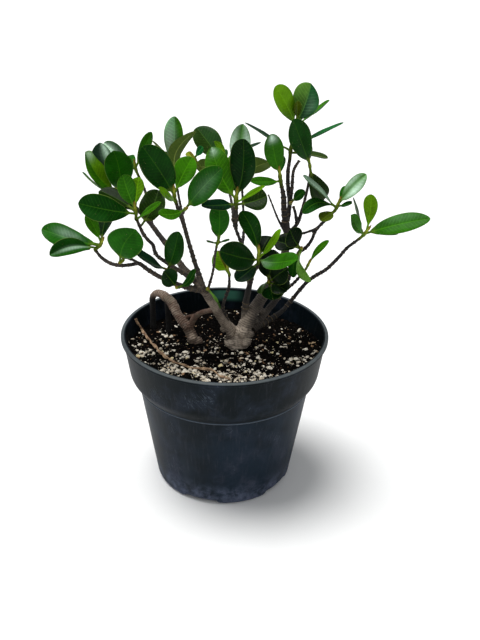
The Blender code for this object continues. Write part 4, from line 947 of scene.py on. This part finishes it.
def woodSkin():
    # one skin over all the branches, feet and burls, in mm
    points, faces = [], []
    for name in branches:
        line, widths = branchLine(name, 1.2)
        rounded = (line[-1] - line[-2]).normalized() * widths[-1] * 0.5
        tubeInto(points, faces, line + [line[-1] + rounded], widths + [widths[-1] * 0.6])
    for place, sunk, radius in footPlaces():
        surface = soilLevel(place.y)
        heights = [surface - sunk, surface - 1, surface + 1.2, max(surface + 2.4, place.z + 1)]
        line = [Vector((place.x, place.y, height)) for height in heights]
        tubeInto(points, faces, line, [radius * 0.9, radius, radius * 0.97, radius * 0.85], 24)
    for across, down, depth, radius in burls:
        ballInto(points, faces, spot(across, down, depth), radius)
    piece = placed("bark_and_branches", meshOf("bark_and_branches", points, faces))
    skin = piece.modifiers.new("skin", "REMESH")
    skin.mode, skin.voxel_size = "VOXEL", woodForm["voxel"]
    even = piece.modifiers.new("even", "SMOOTH")
    even.factor, even.iterations = 0.5, woodForm["smoothing"]
    return settled(piece)


def woodSamples():
    # places along all branches: (place, distance along, radius, root or not, heading)
    found = []
    for name in branches:
        line, widths = branchLine(name, 1.0)
        for i, (place, travelled, radius) in enumerate(zip(line, distancesAlong(line), widths)):
            found.append((place, travelled, radius, float(name in rootNames), headingAt(line, i)))
    return found


def footPlaces():
    for name, end, sunk, radius in feet:
        yield spot(*branches[name][end][:3]), sunk, radius


def treeOf(places):
    tree = KDTree(len(places))
    for i, place in enumerate(places):
        tree.insert(place, i)
    tree.balance()
    return tree


def makeWood():
    form, piece = woodForm, woodSkin()
    print("wood skin:", len(piece.data.polygons), "faces")
    samples = woodSamples()
    tree = treeOf([sample[0] for sample in samples])
    mesh = piece.data
    values = {"arc": [], "thick": [], "rooty": [], "damp": [], "shaded": []}
    moved = []
    for vertex in mesh.vertices:
        place = vertex.co
        # the thickest branch whose surface is near
        near = [(samples[index][2] - distance, index)
                for at, index, distance in tree.find_n(place, form["neighbours"])]
        centre, travelled, radius, rooty, heading = samples[max(near)[1]]
        travelled += (place - centre).dot(heading)
        lumps = layered(place, form["lumpLayers"])
        wrinkle = math.sin(travelled * form["ringTurn"]
                           + form["ringWander"] * noise.noise(place / form["ringSize"]))
        knot = noise.noise(Vector((travelled / form["knotLength"], radius * 9, rooty * 7)))
        rise = min(radius, form["mostThick"]) * (form["lumps"] * lumps + form["rings"] * wrinkle)
        rise += form["knots"] * max(knot, 0) * (min(radius, form["mostThick"]) < form["knotsBelow"])
        moved.append((place + vertex.normal * rise) * mm)
        damp = 1 - smooth(form["dampFrom"], form["dampTo"], place.z - soilLevel(place.y))
        # how much painted shade darkens the bark here
        dark = max(rooty * zoneShare(place, *paintedLegShade), *(zoneShare(place, *zone) for zone in paintedCrownShade))
        for numbers, value in zip(values.values(), (travelled, radius, rooty, damp, dark)):
            numbers.append(value)
    mesh.vertices.foreach_set("co", np.array([tuple(p) for p in moved], np.float32).ravel())
    addValues(mesh, values)
    mesh.materials.clear()
    mesh.materials.append(barkMaterial())
    mesh.shade_smooth()
    finished(piece, "bark", "woody_plant")


def scarTree():
    # ring scars: thin raised collars along the twigs, where old leaves stood
    graph, given = nodeTree("ring_scars", {"Gap": 0.004, "Rise": 1.12, "Band": 0.28, "Sides": 14, "Seed": 1})
    node, seed = graph.node, given["Seed"]
    curve = node("GeometryNodeMeshToCurve", {0: given["Geometry"]})
    places = node("GeometryNodeCurveToPoints", {"Curve": curve, "Length": given["Gap"]}, mode="LENGTH")
    turning = Wire(graph, places.socket.node.outputs["Rotation"])
    keep = node("FunctionNodeRandomValue", {"Probability": 0.72, "Seed": seed}, 3, data_type="BOOLEAN")
    size = graph.drawn(0.97, given["Rise"], seed)
    collar = node("GeometryNodeCurveToMesh", {"Curve": graph.circle(given["Sides"], 1.0),
                                              "Profile Curve": graph.circle(5, given["Band"])})
    made = node("GeometryNodeInstanceOnPoints", {
        "Points": places, "Selection": keep, "Instance": collar,
        "Rotation": turning, "Scale": graph.named("thick") * size})
    return closeTree(graph, node("GeometryNodeRealizeInstances", {0: made}), given["Material"])


def scarMaterial():
    f = Finish("ring_scar", roughness=0.85)
    fine = f.speckle(1500, 3, 0.6)
    colour = f.mix(fine.between(0.4, 0.65), srgb(50, 40, 28), srgb(112, 96, 72))
    return f.wear(Base_Color=colour, Normal=f.bump(fine, 0.0003, 0.6))


def makeScars():
    # the twigs' middle lines as one wire mesh, with the radius at each place
    points, edges, radii = [], [], []
    for name in branches:
        thin = [pair for pair in zip(*branchLine(name, 1.0)) if pair[1] < woodForm["scarsBelow"]][2:]
        if name in rootNames or len(thin) < 5:
            continue
        edges += [(len(points) + i, len(points) + i + 1) for i in range(len(thin) - 1)]
        points += [place * mm for place, radius in thin]
        radii += [radius * mm for place, radius in thin]
    piece = placed("ring_scars", meshOf("ring_scars", points, [], edges))
    addValues(piece.data, {"thick": radii})
    useTree(piece, scarTree(), {"Gap": woodForm["scarGap"] * mm, "Band": woodForm["scarBand"],
                                "Material": scarMaterial()})
    piece.data.shade_smooth()
    finished(piece, "bark")


# Pot: a tapered plastic pot, turned from its wall's outline, with foot notches and drain holes

potForm = {     # mm
    "rim": 80.0, "height": 125.8, "lipDepth": 2.5, "bandTop": 78.1, "bandLow": 73.7, "bandDepth": 32.7,
    "step": 67.4, "stepDepth": 41.5, "ridge": 0.55, "foot": 54.6, "footRound": 3.0,
    "wall": 1.6, "floor": 2.0, "moatOuter": 46.5, "moatInner": 38.0, "moatHeight": 3.0, "moatSlope": 0.8,
    "drains": 5, "drainRadius": 3.6, "notches": 5, "notchWidth": 27.0, "notchHeight": 2.2,
    "notchSlope": 1.2, "notchFull": 2.5, "notchNone": 7, "firstNotch": -108.0, "steps": 240,
    "uneven": 0.25, "unevenTurn": 1.4, "unevenHeight": 60, "unevenFull": 40, "unevenOutside": 30,
}
potTones = palette(
    body=(7, 17, 22), deep=(4, 11, 14), low=(19, 32, 44), bloom=(38, 46, 60), lip=(98, 104, 106),
    dust=(64, 64, 74), scuff=(100, 108, 130), scratch=(92, 102, 114), soilMark=(120, 112, 98),
    greenShine=(66, 120, 102))
scratches = ((0.35, 1.0), (-0.9, 0.8), (1.35, 0.7))       # the turn of each set, and its share


def softened(corners, steps=4):
    # (radius, height, rounding) corners, each turned into a short arc
    made = []
    for i, (radius, height, rounding) in enumerate(corners):
        here = Vector((radius, height))
        if rounding == 0 or i in (0, len(corners) - 1):
            made.append(here)
            continue
        ends = []
        for other in (corners[i - 1], corners[i + 1]):
            away = Vector(other[:2]) - here
            ends.append(here + away.normalized() * min(rounding, away.length * 0.45))
        for t in (k / steps for k in range(steps + 1)):
            made.append(ends[0] * (1 - t) ** 2 + here * (2 * t * (1 - t)) + ends[1] * t * t)
    return made


def potOutline():
    p = potForm
    top, floor, wall = p["height"], p["moatHeight"] + p["floor"], p["wall"]
    band, step = top - p["bandDepth"], top - p["stepDepth"]
    foot, footRound, ridge = p["foot"], p["footRound"], p["step"] + p["ridge"]
    moatOuter, moatInner, moatTop = p["moatOuter"], p["moatInner"], p["moatHeight"]
    inside = [(0, floor, 0), (foot - wall - 1, floor, 1.5), (p["step"] - wall, step, 1.5),
              (p["bandLow"] - wall, band, 1.2), (p["bandTop"] - wall, top - 0.2, 0.5)]
    lip = [(p["bandTop"] - wall + 0.5, top, 0.3), (p["rim"], top, 0.7),
           (p["rim"], top - p["lipDepth"], 0.5), (p["bandTop"] + 0.1, top - p["lipDepth"] - 0.5, 0.4)]
    shoulder = [(p["bandLow"] + 0.1, band + 0.2, 3.2), (p["step"] + 0.7, step + 0.9, 0.3),
                (ridge + 0.6, step + 0.75, 0.2), (ridge + 0.5, step + 0.05, 0.25),
                (p["step"] - 0.1, step - 0.35, 0.2)]
    base = [(foot, footRound, 1.4), (foot - 0.35 * footRound, 0.35 * footRound, 0.6),
            (foot - footRound, 0, 0.5)]
    under = [(moatOuter, 0, 0.4), (moatOuter - p["moatSlope"], moatTop, 0.4),
             (moatInner + p["moatSlope"], moatTop, 0.4), (moatInner, 0, 0.4), (0, 0, 0)]
    return softened(inside + lip + shoulder + base + under)


def potMaterial():
    f, tones = Finish("scuffed_black_plastic", roughness=0.45, Specular_IOR_Level=0.07), potTones
    x, y, z = f.place.parts()
    radius = (x * x + y * y) ** 0.5
    height = z * 1000                      # mm
    top, step = potForm["height"], potForm["height"] - potForm["stepDepth"]
    streaks = f.speckle(26, 4, 0.65, f.combined(x / radius, y / radius, z * 2.0))
    broad = f.speckle(14, 4, 0.6)
    patch = f.speckle(38, 5, 0.65)
    grain = f.speckle(1500, 2)
    low = height.between(step + 2, step - 3)
    # the lip: a thin band on the rim's top outer edge, where a painted highlight goes
    lip = height.between(top - 1.0, top - 0.3) * radius.between(0.0772, 0.0778)
    dusty = patch.between(0.52, 0.72) * low * height.between(70, 30)
    shadow = height.between(step + 7, step + 2) * height.between(step + 0.6, step + 1.2)
    # ridge: the small ridge at the step, where a painted highlight goes
    ridge = height.between(step + 1.3, step + 0.9) * height.between(step - 0.3, step + 0.1)
    scuffs = f.speckle(110, 6, 0.75).between(0.36, 0.72) * height.between(26, 4)
    # hairline scratches: thin lines of stretched noise, in three directions
    thin = 0
    for turn, share in scratches:
        turned = f.node("ShaderNodeMapping", {"Vector": f.place, "Rotation": (turn, 0.4 * turn, turn * 0.6),
                                              "Scale": (14, 240, 14)}, vector_type="POINT")
        line = (f.speckle(3.0, 2, 0.5, turned) - 0.5).maths("ABSOLUTE").between(0.010, 0.002)
        thin = line * f.speckle(30 + 8 * share, 2).between(0.60, 0.72) * share + thin
    # green light from the leaves, caught by the back of the inner wall
    shine = (x * 1000 + 1).maths("ABSOLUTE").between(17, 5) * y.between(0.068, 0.072)
    shine = shine * height.between(top - 12, top - 7) * height.between(top - 0.5, top - 2.5)
    colour = f.painted(
        f.mix(low, tones["body"], tones["low"]),
        (broad.between(0.58, 0.36) * 0.7, tones["deep"]),
        (patch.between(0.46, 0.72) * 0.55, tones["bloom"]),
        (streaks.between(0.5, 0.75) * 0.22, tones["dust"]),
        (dusty * 0.30, tones["dust"]),
        (shadow * 0.55, tones["deep"]),
        # painted highlight: a thin pale line along the ridge, in the scratches' tone
        (ridge * radius.between(0.0672, 0.0678) * 0.6, tones["scratch"]),
        # painted highlight along the rim's top edge, streaked
        (lip * (0.45 + streaks * 0.5), tones["lip"]),
        (scuffs * 0.8, tones["scuff"]),
        (height.between(5.5, 0.5) * 0.5, tones["scuff"]),
        (thin * 0.32, tones["scratch"]),
        (f.speckle(1300, 1).between(0.80, 0.84) * 0.2, tones["soilMark"]),
        (shine * radius.between(0.0778, 0.0772) * 0.9, tones["greenShine"]))
    rough = 0.42 + patch * 0.16 + scuffs * 0.2 + dusty * 0.15 - low * 0.02
    bumps = f.bump(grain * 0.35 + thin * -0.8 + streaks * 0.5, 0.00022, 0.5)
    return f.wear(Base_Color=colour, Roughness=rough, Normal=bumps)


def turnedTree():
    graph, given = nodeTree("turned_pot", {"Steps": 240, "Drains": 5, "Drain Radius": 0.0036,
                                           "Drain Ring": 0.04225, "First Drain": 0.0})
    node = graph.node
    axle = 0.01                           # the ring that the outline is carried round, in metres
    outline = node("GeometryNodeMeshToCurve", {0: given["Geometry"]})
    shifted = node("GeometryNodeTransform", {0: outline, "Translation": (-axle, 0, 0)})
    upright = node("GeometryNodeTransform", {0: shifted, "Rotation": (math.pi / 2, 0, 0)})
    wall = node("GeometryNodeCurveToMesh", {"Curve": graph.circle(given["Steps"], axle),
                                            "Profile Curve": upright})
    closed = node("GeometryNodeMergeByDistance", {0: wall, "Distance": 0.00001})
    # drain holes
    holes = graph.circle(given["Drains"], given["Drain Ring"])
    turned = node("GeometryNodeTransform", {
        0: holes, "Rotation": graph.combined(0.0, 0.0, given["First Drain"])})
    punch = node("GeometryNodeMeshCylinder",
                 {"Vertices": 28, "Radius": given["Drain Radius"], "Depth": 0.03})
    punches = node("GeometryNodeInstanceOnPoints", {"Points": turned, "Instance": punch})
    cut = node("GeometryNodeMeshBoolean",
               {"Mesh 1": closed, "Mesh 2": node("GeometryNodeRealizeInstances", {0: punches})},
               operation="DIFFERENCE", solver="EXACT")
    return closeTree(graph, node("GeometryNodeRealizeInstances", {0: cut}), given["Material"])


def makePot():
    p = potForm
    outline = potOutline()
    mesh = meshOf("nursery_pot", [(place.x * mm, 0, place.y * mm) for place in outline], [],
                  [(i, i + 1) for i in range(len(outline) - 1)])
    piece = useTree(placed("nursery_pot", mesh), turnedTree(), {
        "Steps": p["steps"], "Drains": p["drains"], "Drain Radius": p["drainRadius"] * mm,
        "Drain Ring": (p["moatInner"] + p["moatOuter"]) / 2 * mm,
        "First Drain": math.radians(p["firstNotch"] + 180 / p["drains"]), "Material": potMaterial()})
    # the foot rises a little at each notch, and the wall is never quite round
    half, slope = p["notchWidth"] / 2, p["notchSlope"]
    for vertex in piece.data.vertices:
        x, y, z = vertex.co / mm
        radius = math.hypot(x, y)
        if radius > p["moatOuter"] - 0.1 and z < p["notchNone"]:
            for k in range(p["notches"]):
                middle = math.radians(p["firstNotch"] + 360 / p["notches"] * k)
                sideways = abs(-x * math.sin(middle) + y * math.cos(middle))
                if x * math.cos(middle) + y * math.sin(middle) > 0:
                    share = smooth(half + slope, half - slope, sideways)
                    vertex.co.z += p["notchHeight"] * share * smooth(p["notchNone"], p["notchFull"], z) * mm
        if radius > p["unevenOutside"]:
            angle, turn = math.atan2(y, x), p["unevenTurn"]
            around = Vector((math.cos(angle) * turn, math.sin(angle) * turn, z / p["unevenHeight"]))
            push = -p["uneven"] * abs(noise.noise(around)) * smooth(0, p["unevenFull"], z)
            vertex.co.x += x / radius * push * mm
            vertex.co.y += y / radius * push * mm
    shell = bmesh.new()
    shell.from_mesh(piece.data)
    bmesh.ops.recalc_face_normals(shell, faces=shell.faces)
    shell.to_mesh(piece.data)
    shell.free()
    piece.data.shade_smooth()
    finished(piece, "pot", "pot")


# Soil: dark mix with white perlite, dark crumbs and bits of bark

soilForm = {     # mm
    "frontDrop": 6.0, "backDrop": 18.0, "slopeStart": -60.0, "slopeLength": 130.0,
    "crumbHeight": 1.1, "crumbLayers": ((5.5, 1), (2.7, 0.7), (1.3, 0.45), (0.6, 0.225)),
    "bedDepth": 0.9, "bedHalf": 4.0, "bedEdge": 5.0, "footEdge": 6, "least": 0.3,
    "rings": 112, "spokes": 330, "ringSpread": 0.8, "intoWall": 0.3,
}
# how much perlite lies about: a little everywhere, more ahead and to the left, most at the front
perliteZones = [(0.04,), (0.2, ("y", 35, -45)), (0.08, ("x", 10, -55), ("y", 35, -45)),
                (0.72, ("y", -30, -62), ("x", -62, -30), ("x", 62, 30))]
clumps = {"layers": ((9, 1, 4), (4, 0.7, 9)),       # size in mm, strength, and height in the noise
          "even": 0.75, "strength": 2.3, "least": 0.008, "most": 1.3}
# dark, middle, light and odd tones of each kind of grain, and its roughness
grainFinishes = {
    "perlite_grain": ((116, 102, 86), (196, 184, 164), (238, 230, 214), (222, 206, 160), 0.85),
    "soil_crumb": ((2, 2, 2), (7, 5, 5), (20, 15, 12), (48, 34, 24), 0.9),
    "bark_bit": ((52, 36, 24), (104, 78, 54), (160, 128, 98), (190, 164, 130), 0.85),
}
grains = {      # density per square metre, and sizes in mm
    "perlite": {"Density": 250000.0, "Smallest": 0.38, "Largest": 2.0, "Flatness": 0.78,
                "Jaggedness": 0.5, "Sink": 0.1, "Detail": 2, "Seed": 3,
                "Where": "perliteHere", "finish": "perlite_grain"},
    "perlite_dust": {"Density": 420000.0, "Smallest": 0.16, "Largest": 0.5, "Flatness": 0.8,
                     "Jaggedness": 0.5, "Sink": 0.1, "Detail": 1, "Seed": 8,
                     "Where": "perliteHere", "finish": "perlite_grain"},
    "crumbs": {"Density": 210000.0, "Smallest": 0.35, "Largest": 1.5, "Flatness": 0.8,
               "Jaggedness": 0.7, "Sink": 0.35, "Detail": 1, "Seed": 4,
               "Where": "crumbsHere", "finish": "soil_crumb"},
    "bark_bits": {"Density": 9000.0, "Smallest": 0.5, "Largest": 1.9, "Flatness": 0.35,
                  "Jaggedness": 0.6, "Sink": 0.1, "Detail": 2, "Seed": 6,
                  "Where": "crumbsHere", "finish": "bark_bit"},
}


def soilLevel(y):
    s = soilForm
    slope = smooth(s["slopeStart"], s["slopeStart"] + s["slopeLength"], y)
    return potForm["height"] - s["frontDrop"] - (s["backDrop"] - s["frontDrop"]) * slope


def bandInside(height):
    p = potForm
    part = (height - (p["height"] - p["bandDepth"])) / p["bandDepth"]
    return p["bandLow"] + (p["bandTop"] - p["bandLow"]) * part - p["wall"]


def looseRootLine():
    line = []
    for across, down, raised, radius in looseRoot:
        place = spot(across, down, -50)
        for again in range(8):
            ray = place - eye
            place = eye + ray * ((soilLevel(place.y) + raised - eye.z) / ray.z)
        line.append(place)
    return line


def soilMaterial():
    f = Finish("damp_potting_soil", roughness=0.95, Specular_IOR_Level=0.02)
    crumbs = f.speckle(420, 5, 0.7)
    broad = f.speckle(60, 4, 0.6)
    tiny = f.speckle(2400, 3, 0.6)
    fibres = f.speckle(1, 4, 0.7, f.stretched(2200, 300, 700)).between(0.66, 0.74)
    colour = f.painted(
        f.mix(crumbs.between(0.35, 0.7), srgb(1, 1, 1), srgb(10, 8, 6)),
        (broad.between(0.42, 0.64) * 0.5, srgb(5, 4, 4)),
        (fibres * 0.4, srgb(80, 56, 36)),
        (tiny.between(0.68, 0.74) * 0.3, srgb(110, 98, 82)))
    rough = 0.78 + crumbs * 0.2 - broad * 0.1
    return f.wear(Base_Color=colour, Roughness=rough, Normal=f.bump(crumbs + tiny * 0.4, 0.0009, 0.9))


def grainMaterial(name, dark, middle, light, odd, rough):
    f = Finish(name, roughness=rough, Specular_IOR_Level=0.1)
    shade = f.attribute("shade")
    cells = f.speckle(1900, 4, 0.65)
    dirt = f.speckle(650, 3, 0.6)
    colour = f.painted(
        f.mix(shade.between(0.1, 0.7), srgb(*middle), srgb(*light)),
        (shade.between(0.86, 0.91), srgb(*odd)),        # about one grain in eight is another colour
        (cells.between(0.5, 0.3) * 0.35, srgb(*dark)),
        (dirt.between(0.52, 0.68) * 0.5, srgb(*dark)))
    return f.wear(Base_Color=colour, Roughness=rough - 0.06 + cells * 0.12,
                  Normal=f.bump(cells, 0.0004, 0.7))


def scatterTree():
    # grains of one kind: strewn on the faces by an attribute, each turned, stretched and made jagged
    graph, given = nodeTree("strewn_grains", {
        "Density": 10000.0, "Smallest": 0.0005, "Largest": 0.002, "Flatness": 0.8, "Jaggedness": 0.5,
        "Sink": 0.2, "Detail": 1, "Where": "where", "Seed": 1})
    node, seed = graph.node, given["Seed"]
    spots = node("GeometryNodeDistributePointsOnFaces", {
        "Mesh": given["Geometry"], 4: graph.named(given["Where"]) * given["Density"], "Seed": seed},
        distribute_method="RANDOM")
    up = Wire(graph, spots.socket.node.outputs["Normal"])
    pick = graph.drawn(0.0, 1.0, seed)
    size = given["Smallest"] + (given["Largest"] - given["Smallest"]) * (pick ** 2.3)
    shape = graph.drawn((0.7, 0.6, 0.6), (1.25, 1.0, 1.0), seed + 1.0)
    turn = graph.drawn((-0.5, -0.5, 0.0), (0.5, 0.5, math.tau), seed + 2.0)
    shade = graph.drawn(0.0, 1.0, seed + 3.0)
    stretch = graph.vector("MULTIPLY", shape, graph.combined(1.0, 1.0, given["Flatness"]))
    down = graph.scaled(up, size * given["Sink"] * -1.0)
    # the size is kept on each point, because the grains are placed after the points have moved
    sized = node("GeometryNodeStoreNamedAttribute", {0: spots, "Name": "size", "Value": size},
                 data_type="FLOAT", domain="POINT")
    sunk = node("GeometryNodeSetPosition", {0: sized, "Offset": down})
    ball = node("GeometryNodeMeshIcoSphere", {"Radius": 1.0, "Subdivisions": given["Detail"]})
    made = node("GeometryNodeInstanceOnPoints", {
        "Points": sunk, "Instance": ball, "Rotation": turn, "Scale": graph.scaled(stretch, size)})
    marked = node("GeometryNodeStoreNamedAttribute", {0: made, "Name": "shade", "Value": shade},
                  data_type="FLOAT", domain="INSTANCE")
    real = node("GeometryNodeRealizeInstances", {0: marked})
    grain = graph.named("size")
    close = graph.scaled(node("GeometryNodeInputPosition"), 0.9 / grain)
    rough = node("ShaderNodeTexNoise", {"Vector": close, "Scale": 1.0, "Detail": 1.0}, out=1)
    pushed = graph.vector("SUBTRACT", rough, (0.5, 0.5, 0.5))
    jagged = node("GeometryNodeSetPosition", {
        0: real, "Offset": graph.scaled(pushed, grain * given["Jaggedness"] * 2.6)})
    return closeTree(graph, jagged, given["Material"])


def soilSurface():
    # the height of the mix at a place: crumbly, but smoother under the loose root and at the feet
    s = soilForm
    rootLine, widths = smoothLine(looseRootLine(), [1.0] * len(looseRoot), 1.5)
    rootTree = treeOf([(place.x, place.y, 0) for place in rootLine])
    around = list(footPlaces())

    def surface(x, y):
        here = Vector((x, y, 0))
        lumps = layered(here, s["crumbLayers"])
        bed = min(max((rootTree.find(here)[2] - s["bedHalf"]) / s["bedEdge"], 0), 1)
        fromFoot = min(math.hypot(x - place.x, y - place.y) - radius for place, sunk, radius in around)
        free = min(max(fromFoot / s["footEdge"], 0), 1)
        rough = s["least"] + (1 - s["least"]) * bed * free
        return soilLevel(y) + s["crumbHeight"] * lumps * rough - s["bedDepth"] * (1 - bed)
    return surface


def perliteShare(x, y):
    fill = sum(zoneShare(Vector((x, y, 0)), *zone) for zone in perliteZones)
    clump = sum(layered(Vector((x, y, height)), [(size, strength)])
                for size, strength, height in clumps["layers"])
    share = fill * (clumps["even"] + clumps["strength"] * clump)
    return min(max(share, clumps["least"]), clumps["most"])


def makeSoil():
    s, p, surface = soilForm, potForm, soilSurface()
    spokes, wall = s["spokes"], p["wall"]
    side = p["bandTop"] - wall
    points, faces, perliteHere, crumbsHere = [], [], [], []

    def add(x, y, height, perlite=0.0, crumbs=0.0):
        points.append((x, y, height))
        perliteHere.append(perlite)
        crumbsHere.append(crumbs)

    def join(inner, outer):
        # quads between the rings of points that start at these numbers
        for k in range(spokes):
            n = (k + 1) % spokes
            faces.append((inner + k, outer + k, outer + n, inner + n))

    for ring in range(s["rings"] + 1):
        for spoke in range(spokes if ring else 1):
            angle = math.tau * spoke / spokes
            share = (ring / s["rings"]) ** s["ringSpread"]
            x, y = side * share * math.cos(angle), side * share * math.sin(angle)
            height = surface(x, y)
            scale = (bandInside(height) + s["intoWall"]) / side
            inside = float(ring < s["rings"])          # no grains at the wall, so none shows through it
            add(x * scale, y * scale, height, perliteShare(x, y) * inside, inside)
    faces += [(0, 1 + spoke, 1 + (spoke + 1) % spokes) for spoke in range(spokes)]
    for ring in range(s["rings"] - 1):
        join(1 + ring * spokes, 1 + (ring + 1) * spokes)
    floor = p["moatHeight"] + p["floor"] + 0.1
    edge = 1 + (s["rings"] - 1) * spokes
    below = [(p["bandLow"] - wall - 0.1, p["height"] - p["bandDepth"]),
             (p["step"] - wall - 0.1, p["height"] - p["stepDepth"]),
             (p["foot"] - wall - 0.6, floor + 1.5), (p["foot"] - wall - 2.5, floor)]
    for radius, height in below:
        for angle in (math.tau * spoke / spokes for spoke in range(spokes)):
            add(radius * math.cos(angle), radius * math.sin(angle), height)
        join(edge, len(points) - spokes)
        edge = len(points) - spokes
    add(0, 0, floor)
    faces += [(edge + spoke, len(points) - 1, edge + (spoke + 1) % spokes) for spoke in range(spokes)]
    piece = pieceFromArrays("soil_mix", points, faces, soilMaterial(),
                            {"perliteHere": perliteHere, "crumbsHere": crumbsHere})
    finished(piece, "soil", "soil")
    finishes = {name: grainMaterial(name, *tones) for name, tones in grainFinishes.items()}
    tree = scatterTree()
    for name, grain in grains.items():
        strewn = useTree(placed(name, piece.data.copy()), tree, {
            **grain, "Smallest": grain["Smallest"] * mm, "Largest": grain["Largest"] * mm,
            "Material": finishes[grain["finish"]]})
        finished(strewn, "soil")


# Loose root: a thin, knotted root that lies on the soil from the left wall to the front

looseForm = {
    "sides": 10, "knots": 12, "knotRise": 0.7, "knotLength": 0.9, "kinks": 0.5, "winding": 0.16,
    "bumps": 0.16, "raised": 0.35, "seed": 9,
    "strands": ((0.58, 0.25, 0.4), (0.38, 0.75, 3.5)),       # share of the radius, offset, and phase
}


def dryRootMaterial():
    f = Finish("dry_root", roughness=0.8)
    arc = f.attribute("arc")
    streaks = f.speckle(1, 4, 0.7, f.stretched(900, 300, 900))
    blotch = f.speckle(240, 3, 0.6)
    ring = (arc * 0.8 + blotch * 1.6).stripes().between(0.12, 0.02)
    colour = f.painted(
        f.mix(blotch.between(0.35, 0.68), srgb(118, 88, 64), srgb(186, 156, 124)),
        (streaks.between(0.5, 0.7) * 0.4, srgb(196, 166, 132)),
        (ring * 0.5, srgb(60, 40, 28)))
    return f.wear(Base_Color=colour, Roughness=0.66 + blotch * 0.2,
                  Normal=f.bump(streaks * 0.8 - ring * 0.6, 0.0004, 0.7))


def makeLooseRoot():
    form = looseForm
    chance = random.Random(form["seed"])
    widths = [place[3] for place in looseRoot]
    raised = [place + Vector((0, 0, width - soilForm["bedDepth"] + form["raised"]))
              for place, width in zip(looseRootLine(), widths)]
    line, radii = smoothLine(raised, widths, 0.8)
    arcs = distancesAlong(line)
    knots = [arcs[-1] * (k + chance.uniform(0.1, 0.9)) / form["knots"] for k in range(form["knots"])]
    points, faces, values = [], [], []

    def unevenness(*place):
        return noise.noise(Vector(place))

    # a main strand and a thinner one that winds loosely round it
    for share, reach, phase in form["strands"]:
        rings = []
        for arc, place, radius, (side, other) in zip(arcs, line, radii, crossDirections(line)):
            wander = Vector((unevenness(arc / 6, 5, 1), unevenness(arc / 6, 9, 4), 0))
            turn = phase + arc * form["winding"] + 2 * unevenness(arc / 9, 3, phase)
            centre = place + wander * form["kinks"]
            centre += (side * math.cos(turn) + other * math.sin(turn)) * radius * reach
            knot = sum(form["knotRise"] * math.exp(-((arc - middle) / form["knotLength"]) ** 2)
                       for middle in knots)
            radius = radius * share * (0.9 + 0.3 * unevenness(arc / 3, 1, 2)) + knot * share
            rings.append(list(range(len(points), len(points) + form["sides"])))
            for out in ringAround(Vector(), side, other, 1, form["sides"]):
                bump = 1 + form["bumps"] * noise.noise((centre + out) * 1.3)
                points.append(centre + out * radius * bump)
                values.append(arc + phase)
        faces += tubeFaces(rings)
    piece = pieceFromArrays("loose_root", points, faces, dryRootMaterial(), {"arc": values})
    finished(piece, "dry_root", "surface_root")


# Studio: pale floor, soft light, and the camera at the view's place

studio = {
    "floor": (244, 244, 243), "floorPatch": (240, 240, 239), "reach": 4.0,       # m
    "world": 0.36, "worldTint": (240, 243, 246),
    "sun": {"from": (-0.25, 0.08, 1.0), "spread": 36, "power": 3.6},     # degrees across
    "fill": {"place": (0.25, -1.1, 1.0), "towards": (0, 0, 0.15), "size": 0.8, "power": 2.6},
    "sensor": 36.0,      # mm
}


def makeStudio():
    reach = studio["reach"]
    corners = [(-reach, -reach, 0), (reach, -reach, 0), (reach, reach, 0), (-reach, reach, 0)]
    floor = placed("studio_floor", meshOf("studio_floor", corners, [(0, 1, 2, 3)]))
    f = Finish("floor_paper", roughness=0.9)
    tint = f.mix(f.speckle(3, 2), srgb(*studio["floor"]), srgb(*studio["floorPatch"]))
    floor.data.materials.append(f.wear(Base_Color=tint))
    world = bpy.data.worlds.new("studio_light")
    bpy.context.scene.world = world
    world.use_nodes = True
    backdrop = world.node_tree.nodes["Background"].inputs
    backdrop["Color"].default_value = srgb(*studio["worldTint"])
    backdrop["Strength"].default_value = studio["world"]
    # a wide soft sun from above, which lights the floor evenly, and a round lamp in front
    form = studio["sun"]
    sun = bpy.data.lights.new("sun_light", "SUN")
    sun.energy, sun.angle = form["power"], math.radians(form["spread"])
    placed("sun_light", sun).rotation_euler = Vector(form["from"]).to_track_quat("Z", "Y").to_euler()
    form = studio["fill"]
    lamp = bpy.data.lights.new("fill_light", "AREA")
    lamp.shape, lamp.size, lamp.energy = "DISK", form["size"], form["power"]
    low = placed("fill_light", lamp)
    low.location = form["place"]
    away = Vector(form["place"]) - Vector(form["towards"])
    low.rotation_euler = away.to_track_quat("Z", "Y").to_euler()
    camera = bpy.data.cameras.new("front_view")
    camera.sensor_width = studio["sensor"]
    camera.lens = view["focal"] / view["height"] * camera.sensor_width
    holder = placed("front_view", camera)
    turned = Matrix((rightWay, upWay, -forwardWay)).transposed().to_4x4()
    holder.matrix_world = Matrix.Translation(eye * mm) @ turned
    bpy.context.scene.camera = holder
    bpy.context.scene.view_settings.view_transform = "Standard"


for make in (makeStudio, makePot, makeSoil, makeLooseRoot, makeWood, makeScars, makeShoots):
    make()
